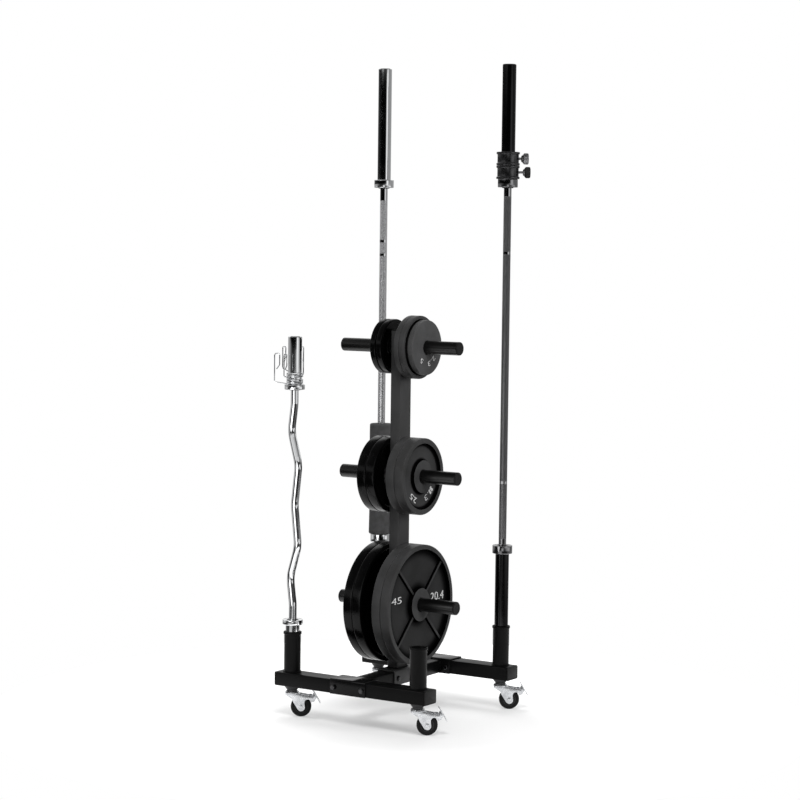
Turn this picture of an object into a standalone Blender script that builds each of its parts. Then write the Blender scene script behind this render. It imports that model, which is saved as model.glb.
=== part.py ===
"""Weight plate tree on casters, loaded with plates, bars, collars and a bar pad.

The tree stands on the floor at Z = 0. X runs along the pegs, Y along the middle
beam, and the origin lies on the floor under the axis of the upright.
"""
import math

import bmesh
import bpy
from mathutils import Matrix, Vector

# Play between pieces that touch on the real tree
TOUCH = 0.0003

# Steel frame
BEAM_LENGTH = 0.645
BEAM_WIDTH = 0.075
BEAM_HEIGHT = 0.050
BEAM_WALL = 0.003
BEAM_UNDERSIDE = 0.113
BEAM_SPACING = 0.564
MIDDLE_BEAM_WIDTH = 0.065
SADDLE_LENGTH = 0.150
SADDLE_THICKNESS = 0.005
UPRIGHT_ACROSS = 0.045
UPRIGHT_ALONG = 0.070
UPRIGHT_WALL = 0.003
UPRIGHT_TOP = 1.400

# Pegs that carry the plates
PEG_DIAMETER = 0.0483
PEG_LENGTH = 0.502
PEG_WALL = 0.003
PEG_CHAMFER = 0.0025
PEG_VENT = 0.008
LOWEST_PEG = 0.407
PEG_SPACING = 0.466

# Tubes that hold the bars, one over each caster
HOLDER_SPACING = 0.540
HOLDER_DIAMETER = 0.0603
HOLDER_BORE = 0.0540
HOLDER_HEIGHT = 0.147
HOLDER_RIM_DIAMETER = 0.0655
HOLDER_RIM_HEIGHT = 0.010

# Swivel casters: lengths run from the stem's axis, backwards along the trail
WHEEL_DIAMETER = 0.075
WHEEL_WIDTH = 0.024
WHEEL_CROWN = 0.004
CASTER_TRAIL = 0.033
CASTER_YAW = math.radians(33.0)
AXLE_DIAMETER = 0.008
AXLE_HEAD = 0.015
AXLE_HEAD_THICKNESS = 0.004
FORK_GAP = 0.028
FORK_LEG = 0.0025
CROWN_THICKNESS = 0.0045
RACE_DIAMETER = 0.051
RACE_HEIGHT = 0.0085
STEM_PIN = 0.011
STEM_HEAD = 0.018
STEM_HEAD_THICKNESS = 0.003
STEM_NECK = 0.038
STEM_NECK_HEIGHT = 0.0065
STEM_CUP = 0.056
STEM_CUP_FOOT = 0.043
STEM_CUP_HEIGHT = 0.012
STEM_BOLT = 0.012
STEM_BOLT_LENGTH = 0.027

# Brake pedal of a caster
PEDAL_PIN = 0.005
PEDAL_REACH = 0.0425
PEDAL_RISE = 0.0235
PEDAL_WIDTH = 0.030
PEDAL_WEB = 0.020
PEDAL_THICKNESS = 0.0022
PEDAL_TOP = (-0.0045, 0.0415)
PEDAL_TIP = (0.0260, -0.0110)
CAM_CLEARANCE = 0.0005
PEDAL_TRAVEL = math.radians(25.0)

# Plates: every one has the same bore, and hangs on the peg by it
PLATE_BORE = 0.0508
PLATE_45 = {"diameter": 0.438, "thickness": 0.036, "rim": 0.020, "hub": 0.120, "front": 0.016, "back": 0.007}
PLATE_25 = {"diameter": 0.280, "thickness": 0.0365, "rim": 0.022, "hub": 0.118, "front": 0.012, "back": 0.009}
PLATE_10 = {"diameter": 0.230, "thickness": 0.021, "rim": 0.014, "hub": 0.092, "front": 0.005, "back": 0.0}
PLATE_5 = {"diameter": 0.200, "thickness": 0.022, "rim": 0.012, "hub": 0.076, "front": 0.0, "back": 0.013}
PLATE_FACETS = {"45": 32, "25": 28, "10": 24, "5": 24}
RIB_WIDTH = 0.006

# Straight bars, and what is on them
BAR_LENGTH = 2.200
SHAFT_DIAMETER = 0.028
SLEEVE_DIAMETER = 0.050
SLEEVE_LENGTH = 0.415
SLEEVE_CHAMFER = 0.0015
SLEEVE_END = 0.010
FLANGE_DIAMETER = 0.073
FLANGE_THICKNESS = 0.030
PAD_DIAMETER = 0.087
PAD_LENGTH = 0.420
PAD_ROUND = 0.004

# Curl bar: the grips zigzag about the bar's axis
CURL_BAR_LENGTH = 1.211
CURL_SLEEVE_LENGTH = 0.172
CURL_FLANGE_THICKNESS = 0.018
CURL_BENDS = ((0.0, 0.007), (0.147, 0.034), (0.263, -0.021), (0.360, 0.0))
CURL_PLANE = math.radians(-25.0)

# Screw collars on the black bar
CLAMP_DIAMETER = 0.085
CLAMP_WAIST = 0.078
CLAMP_HEIGHT = 0.0485
CLAMP_LIP = 0.008
CLAMP_PLAY = 0.0006
CLAMP_GAP = 0.001
KNOB_DIAMETER = 0.041
KNOB_LENGTH = 0.027
KNOB_SCREW = 0.010
KNOB_NECK = 0.022
KNOB_SHOULDER = 0.007
KNOB_STANDOFF = 0.005
KNOB_LOOSE = 0.007
KNOB_YAW = math.radians(33.0)

# Spring collars on the curl bar: heights run from the foot of the coil
COIL_WIRE = 0.0045
COIL_TURNS = 5
COIL_PLAY = 0.0008
HANDLE_REACH = 0.073
HANDLE_WIDTH = 0.018
HANDLE_TOP = 0.110
HANDLE_RETURN = 0.040
HANDLE_TAIL = (0.011, -0.016)
HANDLE_RISE = 0.006
HANDLE_SPREAD = math.radians(62.0)
HANDLE_YAW = {"lower": math.radians(212.0), "upper": math.radians(101.0)}

# What the other pieces take their places from
BEAM_TOP = BEAM_UNDERSIDE + BEAM_HEIGHT
SADDLE_TOP = BEAM_TOP + TOUCH + SADDLE_THICKNESS
PEG_HEIGHTS = {
    "bottom": LOWEST_PEG,
    "middle": LOWEST_PEG + PEG_SPACING,
    "top": LOWEST_PEG + 2 * PEG_SPACING,
}
CORNERS = {
    "front_left": (-HOLDER_SPACING / 2, -BEAM_SPACING / 2),
    "front_right": (HOLDER_SPACING / 2, -BEAM_SPACING / 2),
    "rear_left": (-HOLDER_SPACING / 2, BEAM_SPACING / 2),
    "rear_right": (HOLDER_SPACING / 2, BEAM_SPACING / 2),
}

# Where the plates lie on each peg: kind of plate, and the space before it
PLATES = {
    ("bottom", "right"): (("45", PLATE_45, 0.0040), ("45", PLATE_45, 0.0005)),
    ("bottom", "left"): (("45", PLATE_45, 0.0005), ("45", PLATE_45, 0.0005)),
    ("middle", "right"): (("25", PLATE_25, 0.0050), ("25", PLATE_25, 0.0005)),
    ("middle", "left"): (("25", PLATE_25, 0.0005), ("25", PLATE_25, 0.0005)),
    ("top", "right"): (("10", PLATE_10, 0.0170), ("10", PLATE_10, 0.0005), ("5", PLATE_5, 0.0070)),
    ("top", "left"): (("5", PLATE_5, 0.0020), ("5", PLATE_5, 0.0030)),
}


def start_clean():
    """Empties the file, so that the part is all that it holds."""
    for thing in list(bpy.data.objects):
        bpy.data.objects.remove(thing, do_unlink=True)


def finish(name, colour, roughness, metallic):
    """A Principled material, made once and shared by its name."""
    material = bpy.data.materials.get(name)
    if material is None:
        material = bpy.data.materials.new(name)
        material.use_nodes = True
        shader = material.node_tree.nodes["Principled BSDF"]
        shader.inputs["Base Color"].default_value = (*colour, 1.0)
        shader.inputs["Roughness"].default_value = roughness
        shader.inputs["Metallic"].default_value = metallic
    return material


def black_powder_coat():
    return finish("black_powder_coat", (0.022, 0.022, 0.023), 0.50, 0.0)


def cast_enamel():
    return finish("cast_enamel", (0.026, 0.026, 0.027), 0.55, 0.0)


def chrome():
    return finish("chrome", (0.80, 0.80, 0.81), 0.12, 1.0)


def black_oxide():
    return finish("black_oxide", (0.020, 0.020, 0.021), 0.28, 0.6)


def zinc():
    return finish("zinc", (0.62, 0.63, 0.64), 0.32, 1.0)


def tyre_rubber():
    return finish("tyre_rubber", (0.015, 0.015, 0.016), 0.60, 0.0)


def foam():
    return finish("foam", (0.030, 0.030, 0.031), 0.85, 0.0)


def as_mesh(name, shape):
    """Turns a finished bmesh into a mesh whose faces point out."""
    bmesh.ops.remove_doubles(shape, verts=shape.verts, dist=1e-7)
    bmesh.ops.recalc_face_normals(shape, faces=shape.faces)
    mesh = bpy.data.meshes.new(name)
    shape.to_mesh(mesh)
    shape.free()
    return mesh


def place(name, mesh, material, matrix=Matrix(), parent=None):
    """Puts a named piece of the tree in the scene."""
    piece = bpy.data.objects.new(name, mesh)
    bpy.context.scene.collection.objects.link(piece)
    if not mesh.materials:
        mesh.materials.append(material)
    mesh.shade_smooth()
    mesh.set_sharp_from_angle(angle=math.radians(30.0))
    piece.parent = parent
    piece.matrix_local = matrix
    return piece


def frame_at(name, matrix):
    """An empty that carries the pieces of one assembly."""
    empty = bpy.data.objects.new(name, None)
    bpy.context.scene.collection.objects.link(empty)
    empty.matrix_world = matrix
    return empty


def box_mesh(name, low, high):
    shape = bmesh.new()
    bmesh.ops.create_cube(shape, size=1.0)
    low, high = Vector(low), Vector(high)
    for vertex in shape.verts:
        vertex.co = Vector((low[i] + (vertex.co[i] + 0.5) * (high[i] - low[i]) for i in range(3)))
    return as_mesh(name, shape)


def turned_mesh(name, profile, facets, axis="Z"):
    """Turns a closed outline of (radius, height) points about an axis."""
    shape = bmesh.new()
    rings = []
    for radius, height in profile:
        if radius == 0.0:
            rings.append([shape.verts.new((0.0, 0.0, height))] * facets)
            continue
        ring = []
        for k in range(facets):
            angle = 2 * math.pi * (k + 0.5) / facets
            ring.append(shape.verts.new((radius * math.cos(angle), radius * math.sin(angle), height)))
        rings.append(ring)
    for ring, following in zip(rings, rings[1:] + rings[:1]):
        for k in range(facets):
            n = (k + 1) % facets
            corners = [ring[k], ring[n], following[n], following[k]]
            unlike = [v for i, v in enumerate(corners) if v not in corners[:i]]
            if len(unlike) > 2:
                shape.faces.new(unlike)
    if axis == "X":
        bmesh.ops.rotate(shape, verts=shape.verts, matrix=Matrix.Rotation(math.pi / 2, 3, "Y"))
    if axis == "Y":
        bmesh.ops.rotate(shape, verts=shape.verts, matrix=Matrix.Rotation(-math.pi / 2, 3, "X"))
    return as_mesh(name, shape)


def drill_mesh(radius, low, high, facets, axis="Z"):
    """A plain round rod between two heights on its axis."""
    return turned_mesh("drill", ((0.0, low), (radius, low), (radius, high), (0.0, high)), facets, axis)


def profile_mesh(name, outline, half_width):
    """Extrudes an outline of (x, z) points to both sides of the XZ plane."""
    shape = bmesh.new()
    near = [shape.verts.new((x, -half_width, z)) for x, z in outline]
    face = shape.faces.new(near)
    far = bmesh.ops.extrude_face_region(shape, geom=[face])["geom"]
    moved = [v for v in far if isinstance(v, bmesh.types.BMVert)]
    bmesh.ops.translate(shape, verts=moved, vec=(0.0, 2 * half_width, 0.0))
    return as_mesh(name, shape)


def rod_mesh(name, points, radius, sides):
    """A round rod along a list of points, with flat ends."""
    shape = bmesh.new()
    path = [Vector(p) for p in points]
    side = None
    rings = []
    for i, here in enumerate(path):
        before = path[max(i - 1, 0)]
        after = path[min(i + 1, len(path) - 1)]
        into = (here - before).normalized() if i else (after - here).normalized()
        out_of = (after - here).normalized() if i < len(path) - 1 else into
        along = (into + out_of).normalized()
        if side is None:
            side = along.orthogonal()
        side = (side - along * side.dot(along)).normalized()
        other = along.cross(side)
        widen = 1.0 / max(along.dot(into), 0.5)
        bend = out_of - into
        ring = []
        for k in range(sides):
            angle = 2 * math.pi * (k + 0.5) / sides
            arm = side * math.cos(angle) + other * math.sin(angle)
            if bend.length > 1e-6:
                inward = (bend - along * bend.dot(along)).normalized()
                arm += inward * arm.dot(inward) * (widen - 1.0)
            ring.append(shape.verts.new(here + arm * radius))
        rings.append(ring)
    for ring, following in zip(rings, rings[1:]):
        for k in range(sides):
            n = (k + 1) % sides
            shape.faces.new((ring[k], ring[n], following[n], following[k]))
    shape.faces.new(rings[0])
    shape.faces.new(rings[-1])
    return as_mesh(name, shape)


def combined(name, base, steps):
    """Adds meshes to a base mesh, or cuts them out of it, one after another."""
    scene = bpy.context.scene.collection
    work = bpy.data.objects.new(name, base)
    scene.objects.link(work)
    tools = []
    for operation, tool in steps:
        cutter = bpy.data.objects.new(name + "_tool", tool)
        cutter.hide_render = True
        cutter.display_type = "WIRE"
        scene.objects.link(cutter)
        tools.append(cutter)
        change = work.modifiers.new(operation.lower(), "BOOLEAN")
        change.operation = operation
        change.solver = "EXACT"
        change.object = cutter
    bpy.context.view_layer.update()
    evaluated = work.evaluated_get(bpy.context.evaluated_depsgraph_get())
    result = bpy.data.meshes.new_from_object(evaluated)
    result.name = name
    for thing in (work, *tools):
        bpy.data.objects.remove(thing, do_unlink=True)
    return result


def shifted(mesh, offset):
    """Moves a mesh's own points, for a tool that is used away from its origin."""
    mesh.transform(Matrix.Translation(offset))
    return mesh


def hole_radius(radius, facets, play=TOUCH):
    """The corner radius of a faceted hole that clears a round of this radius."""
    return (radius + play) / math.cos(math.pi / facets)


# Frame

def beam_mesh(name):
    """A square-ended tube whose hollow opens at the bolt holes of its casters."""
    half = Vector((BEAM_LENGTH / 2, BEAM_WIDTH / 2, BEAM_HEIGHT / 2))
    hollow = half - Vector((BEAM_WALL, BEAM_WALL, BEAM_WALL))
    steps = [("DIFFERENCE", box_mesh("hollow", -hollow, hollow))]
    bolt_hole = hole_radius(STEM_BOLT / 2, 12)
    for side in (-1, 1):
        drill = drill_mesh(bolt_hole, -BEAM_HEIGHT, 0.0, 12)
        steps.append(("DIFFERENCE", shifted(drill, (side * HOLDER_SPACING / 2, 0.0, 0.0))))
    return combined(name, box_mesh(name, -half, half), steps)


def saddle_boxes(along_y, inner_half):
    """Top plate and two cheeks of a saddle that hugs a beam, as box corners."""
    outer = inner_half + SADDLE_THICKNESS
    half = SADDLE_LENGTH / 2
    spans = (
        (-outer, outer, BEAM_TOP + TOUCH, SADDLE_TOP),
        (-outer, -inner_half, BEAM_UNDERSIDE, SADDLE_TOP),
        (inner_half, outer, BEAM_UNDERSIDE, SADDLE_TOP),
    )
    for low, high, bottom, upper in spans:
        if along_y:
            yield (low, -half, bottom), (high, half, upper)
        else:
            yield (-half, low, bottom), (half, high, upper)


def build_frame():
    beam = beam_mesh("long_beam")
    for name, side in (("front_beam", -1), ("rear_beam", 1)):
        centre = (0.0, side * BEAM_SPACING / 2, BEAM_UNDERSIDE + BEAM_HEIGHT / 2)
        place(name, beam, black_powder_coat(), Matrix.Translation(centre))

    # The middle beam ends in a welded saddle over each long beam
    reach = BEAM_SPACING / 2 - BEAM_WIDTH / 2 - TOUCH
    half = MIDDLE_BEAM_WIDTH / 2
    tube = box_mesh("middle_beam", (-half, -reach, BEAM_UNDERSIDE), (half, reach, BEAM_TOP))
    steps = []
    for side in (-1, 1):
        for low, high in saddle_boxes(False, BEAM_WIDTH / 2 + TOUCH):
            plate = shifted(box_mesh("saddle", low, high), (0.0, side * BEAM_SPACING / 2, 0.0))
            steps.append(("UNION", plate))
    inner = half - BEAM_WALL
    hollow = box_mesh("hollow", (-inner, -reach - TOUCH / 2, BEAM_UNDERSIDE + BEAM_WALL),
                      (inner, reach + TOUCH / 2, BEAM_TOP - BEAM_WALL))
    steps.append(("DIFFERENCE", hollow))
    place("middle_beam", combined("middle_beam", tube, steps), black_powder_coat())

    # The upright stands on a saddle of its own, over the middle beam
    x, y = UPRIGHT_ACROSS / 2, UPRIGHT_ALONG / 2
    post = box_mesh("upright", (-x, -y, SADDLE_TOP - SADDLE_THICKNESS / 2), (x, y, UPRIGHT_TOP))
    steps = []
    for low, high in saddle_boxes(True, half + TOUCH):
        steps.append(("UNION", box_mesh("saddle", low, high)))
    x -= UPRIGHT_WALL
    y -= UPRIGHT_WALL
    steps.append(("DIFFERENCE", box_mesh("hollow", (-x, -y, SADDLE_TOP), (x, y, UPRIGHT_TOP + UPRIGHT_WALL))))
    opening = PEG_DIAMETER / 2 + TOUCH / math.cos(math.pi / 24)
    for height in PEG_HEIGHTS.values():
        drill = drill_mesh(opening, -UPRIGHT_ACROSS, UPRIGHT_ACROSS, 24, "X")
        steps.append(("DIFFERENCE", shifted(drill, (0.0, 0.0, height))))
    place("upright", combined("upright", post, steps), black_powder_coat())


def build_pegs():
    """Closed tubes through the upright, each vented inside it."""
    half, radius = PEG_LENGTH / 2, PEG_DIAMETER / 2
    outside = (
        (0.0, -half), (radius - PEG_CHAMFER, -half), (radius, -half + PEG_CHAMFER),
        (radius, half - PEG_CHAMFER), (radius - PEG_CHAMFER, half), (0.0, half),
    )
    end, inner = half - PEG_WALL, radius - PEG_WALL
    inside = ((0.0, -end), (inner, -end), (inner, end), (0.0, end))
    mesh = combined("peg", turned_mesh("peg", outside, 24, "X"), [
        ("DIFFERENCE", turned_mesh("hollow", inside, 12, "X")),
        ("DIFFERENCE", drill_mesh(PEG_VENT / 2, -PEG_DIAMETER, 0.0, 8)),
    ])
    for level, height in PEG_HEIGHTS.items():
        place(level + "_peg", mesh, black_powder_coat(), Matrix.Translation((0.0, 0.0, height)))


def build_holders():
    rim, tube, bore = HOLDER_RIM_DIAMETER / 2, HOLDER_DIAMETER / 2, HOLDER_BORE / 2
    shoulder = HOLDER_HEIGHT - HOLDER_RIM_HEIGHT
    profile = (
        (bore, 0.0), (tube, 0.0), (tube, shoulder), (rim, shoulder),
        (rim, HOLDER_HEIGHT), (bore, HOLDER_HEIGHT),
    )
    mesh = turned_mesh("holder", profile, 20)
    for corner, (x, y) in CORNERS.items():
        place(corner + "_holder", mesh, black_powder_coat(), Matrix.Translation((x, y, BEAM_TOP + TOUCH)))


# Casters

AXLE_HEIGHT = WHEEL_DIAMETER / 2
CUP_TOP = BEAM_UNDERSIDE - TOUCH
NECK_TOP = CUP_TOP - STEM_CUP_HEIGHT
NECK_BOTTOM = NECK_TOP - STEM_NECK_HEIGHT
RACE_TOP = NECK_BOTTOM - TOUCH
RACE_BOTTOM = RACE_TOP - RACE_HEIGHT
CROWN_BOTTOM = RACE_BOTTOM - CROWN_THICKNESS
HEAD_TOP = CROWN_BOTTOM - TOUCH
PEDAL_PIVOT = (CASTER_TRAIL + PEDAL_REACH, AXLE_HEIGHT + PEDAL_RISE)


def stem_mesh():
    """Cup, neck, swivel pin and the bolt that goes up into the beam."""
    profile = (
        (0.0, HEAD_TOP - STEM_HEAD_THICKNESS), (STEM_HEAD / 2, HEAD_TOP - STEM_HEAD_THICKNESS),
        (STEM_HEAD / 2, HEAD_TOP), (STEM_PIN / 2, HEAD_TOP), (STEM_PIN / 2, NECK_BOTTOM),
        (STEM_NECK / 2, NECK_BOTTOM), (STEM_NECK / 2, NECK_TOP), (STEM_CUP_FOOT / 2, NECK_TOP),
        (STEM_CUP / 2, CUP_TOP), (STEM_BOLT / 2, CUP_TOP), (STEM_BOLT / 2, CUP_TOP + STEM_BOLT_LENGTH),
        (0.0, CUP_TOP + STEM_BOLT_LENGTH),
    )
    return turned_mesh("caster_stem", profile, 12)


def fork_mesh():
    """Race and crown with two legs that carry the wheel and the pedal."""
    axle_x, axle_z = CASTER_TRAIL, AXLE_HEIGHT
    pivot_x, pivot_z = PEDAL_PIVOT
    front = RACE_DIAMETER / 2 - 0.0015
    near_pedal = (
        (-0.018, 0.018), (-0.006, 0.019), (0.003, 0.008), (0.004, -0.004), (-0.003, -0.005), (-0.015, 0.004),
        (-0.025, 0.002),
    )
    near_axle = (
        (0.0125, 0.0175), (0.0145, -0.0065), (0.0095, -0.0140), (0.0015, -0.0170), (-0.0075, -0.0145),
        (-0.0125, -0.0085), (-0.0285, 0.0175), (-0.0325, 0.0285),
    )
    outline = (
        (-front, RACE_BOTTOM), (front, RACE_BOTTOM - TOUCH),
        *((pivot_x + x, pivot_z + z) for x, z in near_pedal),
        *((axle_x + x, axle_z + z) for x, z in near_axle),
        (-front, CROWN_BOTTOM),
    )
    half = FORK_GAP / 2 + FORK_LEG
    race = RACE_DIAMETER / 2
    pin = hole_radius(STEM_PIN / 2, 12)
    axle = AXLE_DIAMETER / 2 + TOUCH / math.cos(math.pi / 8)
    pedal_pin = hole_radius(PEDAL_PIN / 2, 8)
    long = 2 * WHEEL_DIAMETER
    slot = box_mesh("slot", (-long, -FORK_GAP / 2, -long), (long, FORK_GAP / 2, CROWN_BOTTOM))
    ring = turned_mesh("race", ((0.0, RACE_BOTTOM - TOUCH), (race, RACE_BOTTOM - TOUCH),
                                (race, RACE_TOP), (0.0, RACE_TOP)), 20)
    return combined("fork", profile_mesh("fork", outline, half), [
        ("DIFFERENCE", slot),
        ("UNION", ring),
        ("DIFFERENCE", drill_mesh(pin, 0.0, BEAM_UNDERSIDE, 12)),
        ("DIFFERENCE", shifted(drill_mesh(axle, -long, long, 8, "Y"), (axle_x, 0.0, axle_z))),
        ("DIFFERENCE", shifted(drill_mesh(pedal_pin, -long, long, 8, "Y"), (pivot_x, 0.0, pivot_z))),
    ])


def wheel_mesh():
    tread, half = WHEEL_DIAMETER / 2, WHEEL_WIDTH / 2
    bore = hole_radius(AXLE_DIAMETER / 2, 16)
    profile = (
        (bore, -half), (tread - WHEEL_CROWN, -half), (tread, -half + WHEEL_CROWN),
        (tread, half - WHEEL_CROWN), (tread - WHEEL_CROWN, half), (bore, half),
    )
    return turned_mesh("wheel", profile, 24, "Y")


def axle_mesh():
    """A riveted axle, headed outside both legs of the fork."""
    legs = FORK_GAP / 2 + FORK_LEG + TOUCH
    end = legs + AXLE_HEAD_THICKNESS
    pin, head = AXLE_DIAMETER / 2, AXLE_HEAD / 2
    profile = (
        (0.0, -end), (head, -end), (head, -legs), (pin, -legs),
        (pin, legs), (head, legs), (head, end), (0.0, end),
    )
    return turned_mesh("axle", profile, 8, "Y")


def pedal_mesh():
    """Bent pedal with a cam that meets the tread, on its own pin."""
    top, tip = Vector(PEDAL_TOP), Vector(PEDAL_TIP)
    along = (tip - top).normalized()
    across = Vector((-along.y, along.x)) * PEDAL_THICKNESS
    plate = (top, tip, tip + across, top + across)
    distance = math.hypot(PEDAL_REACH, PEDAL_RISE)
    nose_length = distance - WHEEL_DIAMETER / 2 - CAM_CLEARANCE
    to_wheel = math.atan2(-PEDAL_RISE, -PEDAL_REACH)
    rest = to_wheel + PEDAL_TRAVEL
    nose = Vector((math.cos(rest), math.sin(rest))) * nose_length
    boss = PEDAL_PIN
    low = top + (tip - top) * 0.62
    high = top + (tip - top) * 0.28
    web = (
        nose, Vector((boss, -boss)), low + across / 2, high + across / 2, Vector((-boss * 1.6, boss * 1.6)),
    )
    legs = FORK_GAP / 2 + FORK_LEG
    return combined("brake_pedal", profile_mesh("pedal", plate, PEDAL_WIDTH / 2), [
        ("UNION", profile_mesh("web", web, PEDAL_WEB / 2)),
        ("UNION", drill_mesh(PEDAL_PIN / 2, -legs, legs, 8, "Y")),
    ])


def build_casters():
    stem, fork, wheel, axle, pedal = stem_mesh(), fork_mesh(), wheel_mesh(), axle_mesh(), pedal_mesh()
    for corner, (x, y) in CORNERS.items():
        under = Matrix.Translation((x, y, 0.0)) @ Matrix.Rotation(CASTER_YAW, 4, "Z")
        carrier = frame_at(corner + "_caster", under)
        at_axle = Matrix.Translation((CASTER_TRAIL, 0.0, AXLE_HEIGHT))
        at_pedal = Matrix.Translation((PEDAL_PIVOT[0], 0.0, PEDAL_PIVOT[1]))
        place(corner + "_caster_stem", stem, black_powder_coat(), parent=carrier)
        place(corner + "_caster_fork", fork, zinc(), parent=carrier)
        place(corner + "_caster_wheel", wheel, tyre_rubber(), at_axle, carrier)
        place(corner + "_caster_axle", axle, zinc(), at_axle, carrier)
        place(corner + "_caster_brake_pedal", pedal, zinc(), at_pedal, carrier)


# Plates

def plate_mesh(kind, size):
    """A cast plate with rim, web and hub, its face towards +X."""
    facets = PLATE_FACETS[kind]
    rim = size["diameter"] / 2
    inner = rim - size["rim"]
    hub, bore, depth = size["hub"] / 2, PLATE_BORE / 2, size["thickness"]
    profile = [(bore, 0.0)]
    if size["back"]:
        profile += [(hub, 0.0), (hub, size["back"]), (inner, size["back"]), (inner, 0.0)]
    profile += [(rim, 0.0), (rim, depth)]
    if size["front"]:
        floor = depth - size["front"]
        profile += [(inner, depth), (inner, floor), (hub, floor), (hub, depth)]
    profile.append((bore, depth))
    mesh = turned_mesh("plate_" + kind, profile, facets, "X")
    if kind != "45":
        return mesh
    ribs = []
    for quarter in range(4):
        face = depth - size["front"]
        rib = box_mesh("rib", (face - size["front"] / 2, -RIB_WIDTH / 2, (hub + bore) / 2),
                       (depth - size["front"] / 3, RIB_WIDTH / 2, inner + size["rim"] / 2))
        rib.transform(Matrix.Rotation(math.radians(45 + 90 * quarter), 4, "X"))
        ribs.append(("UNION", rib))
    return combined("plate_" + kind, mesh, ribs)


def build_plates():
    """Threads the plates on the pegs, from the upright outwards."""
    meshes = {}
    for (level, side), row in PLATES.items():
        sign = 1 if side == "right" else -1
        along = UPRIGHT_ACROSS / 2
        for number, (kind, size, space) in enumerate(row, start=1):
            if kind not in meshes:
                meshes[kind] = plate_mesh(kind, size)
            along += space
            turn = Matrix() if sign > 0 else Matrix.Rotation(math.pi, 4, "Z")
            drop = (PLATE_BORE / 2) * math.cos(math.pi / PLATE_FACETS[kind]) - PEG_DIAMETER / 2 - TOUCH
            spot = Matrix.Translation((sign * along, 0.0, PEG_HEIGHTS[level] - drop))
            place(f"{level}_{side}_plate_{number}", meshes[kind], cast_enamel(), spot @ turn)
            along += size["thickness"]


# Bars

def sleeve_mesh(name, length, flange):
    """A sleeve with its flange, standing on its closed end."""
    outer, lip = SLEEVE_DIAMETER / 2, FLANGE_DIAMETER / 2
    bore = hole_radius(SHAFT_DIAMETER / 2, 16)
    total = length + flange
    profile = (
        (0.0, 0.0), (outer - SLEEVE_CHAMFER, 0.0), (outer, SLEEVE_CHAMFER), (outer, length), (lip, length),
        (lip, total), (bore, total), (bore, SLEEVE_END), (0.0, SLEEVE_END),
    )
    return turned_mesh(name, profile, 16)


def bar_at(name, corner):
    x, y = CORNERS[corner]
    return frame_at(name, Matrix.Translation((x, y, BEAM_TOP + TOUCH)))


def build_straight_bar(name, corner, sleeve, material):
    """A bar that stands in a holder on the end of its lower sleeve."""
    carrier = bar_at(name, corner)
    half = BAR_LENGTH / 2 - SLEEVE_END - TOUCH
    radius = SHAFT_DIAMETER / 2
    shaft = turned_mesh("shaft", ((0.0, -half), (radius, -half), (radius, half), (0.0, half)), 16)
    place(name + "_shaft", shaft, material, Matrix.Translation((0.0, 0.0, BAR_LENGTH / 2)), carrier)
    place(name + "_lower_sleeve", sleeve, material, parent=carrier)
    over = Matrix.Translation((0.0, 0.0, BAR_LENGTH)) @ Matrix.Rotation(math.pi, 4, "X")
    place(name + "_upper_sleeve", sleeve, material, over, carrier)
    return carrier


def curl_path():
    """Points of the curl bar's shaft, from its lower end to its upper end."""
    end = CURL_BAR_LENGTH / 2 - SLEEVE_END - TOUCH
    turn = Vector((math.cos(CURL_PLANE), math.sin(CURL_PLANE), 0.0))
    upper = [turn * offset + Vector((0.0, 0.0, height)) for height, offset in CURL_BENDS]
    lower = [point * Vector((1.0, 1.0, -1.0)) for point in reversed(upper[1:])]
    return [Vector((0.0, 0.0, -end)), *lower, *upper, Vector((0.0, 0.0, end))]


def build_curl_bar():
    carrier = bar_at("curl_bar", "front_left")
    shaft = rod_mesh("curl_shaft", curl_path(), SHAFT_DIAMETER / 2, 16)
    sleeve = sleeve_mesh("curl_sleeve", CURL_SLEEVE_LENGTH, CURL_FLANGE_THICKNESS)
    place("curl_bar_shaft", shaft, chrome(), Matrix.Translation((0.0, 0.0, CURL_BAR_LENGTH / 2)), carrier)
    place("curl_bar_lower_sleeve", sleeve, chrome(), parent=carrier)
    over = Matrix.Translation((0.0, 0.0, CURL_BAR_LENGTH)) @ Matrix.Rotation(math.pi, 4, "X")
    place("curl_bar_upper_sleeve", sleeve, chrome(), over, carrier)
    return carrier


def build_pad(carrier):
    """Foam tube round the shaft, standing on the lower flange."""
    outer, bore = PAD_DIAMETER / 2, hole_radius(SHAFT_DIAMETER / 2, 20)
    profile = (
        (bore, 0.0), (outer - PAD_ROUND, 0.0), (outer, PAD_ROUND), (outer, PAD_LENGTH - PAD_ROUND),
        (outer - PAD_ROUND, PAD_LENGTH), (bore, PAD_LENGTH),
    )
    foot = Matrix.Translation((0.0, 0.0, SLEEVE_LENGTH + FLANGE_THICKNESS + TOUCH))
    place("bar_pad", turned_mesh("bar_pad", profile, 20), foam(), foot, carrier)


def clamp_mesh():
    """A collar with two lips and a threaded hole for its screw."""
    outer, waist = CLAMP_DIAMETER / 2, CLAMP_WAIST / 2
    bore = SLEEVE_DIAMETER / 2 + CLAMP_PLAY
    bore = bore / math.cos(math.pi / 20)
    profile = (
        (bore, 0.0), (outer, 0.0), (outer, CLAMP_LIP), (waist, CLAMP_LIP), (waist, CLAMP_HEIGHT - CLAMP_LIP),
        (outer, CLAMP_HEIGHT - CLAMP_LIP), (outer, CLAMP_HEIGHT), (bore, CLAMP_HEIGHT),
    )
    drill = drill_mesh(hole_radius(KNOB_SCREW / 2, 8), 0.0, 2 * outer, 8, "X")
    return combined("clamp", turned_mesh("clamp", profile, 20), [
        ("DIFFERENCE", shifted(drill, (0.0, 0.0, CLAMP_HEIGHT / 2))),
    ])


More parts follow.
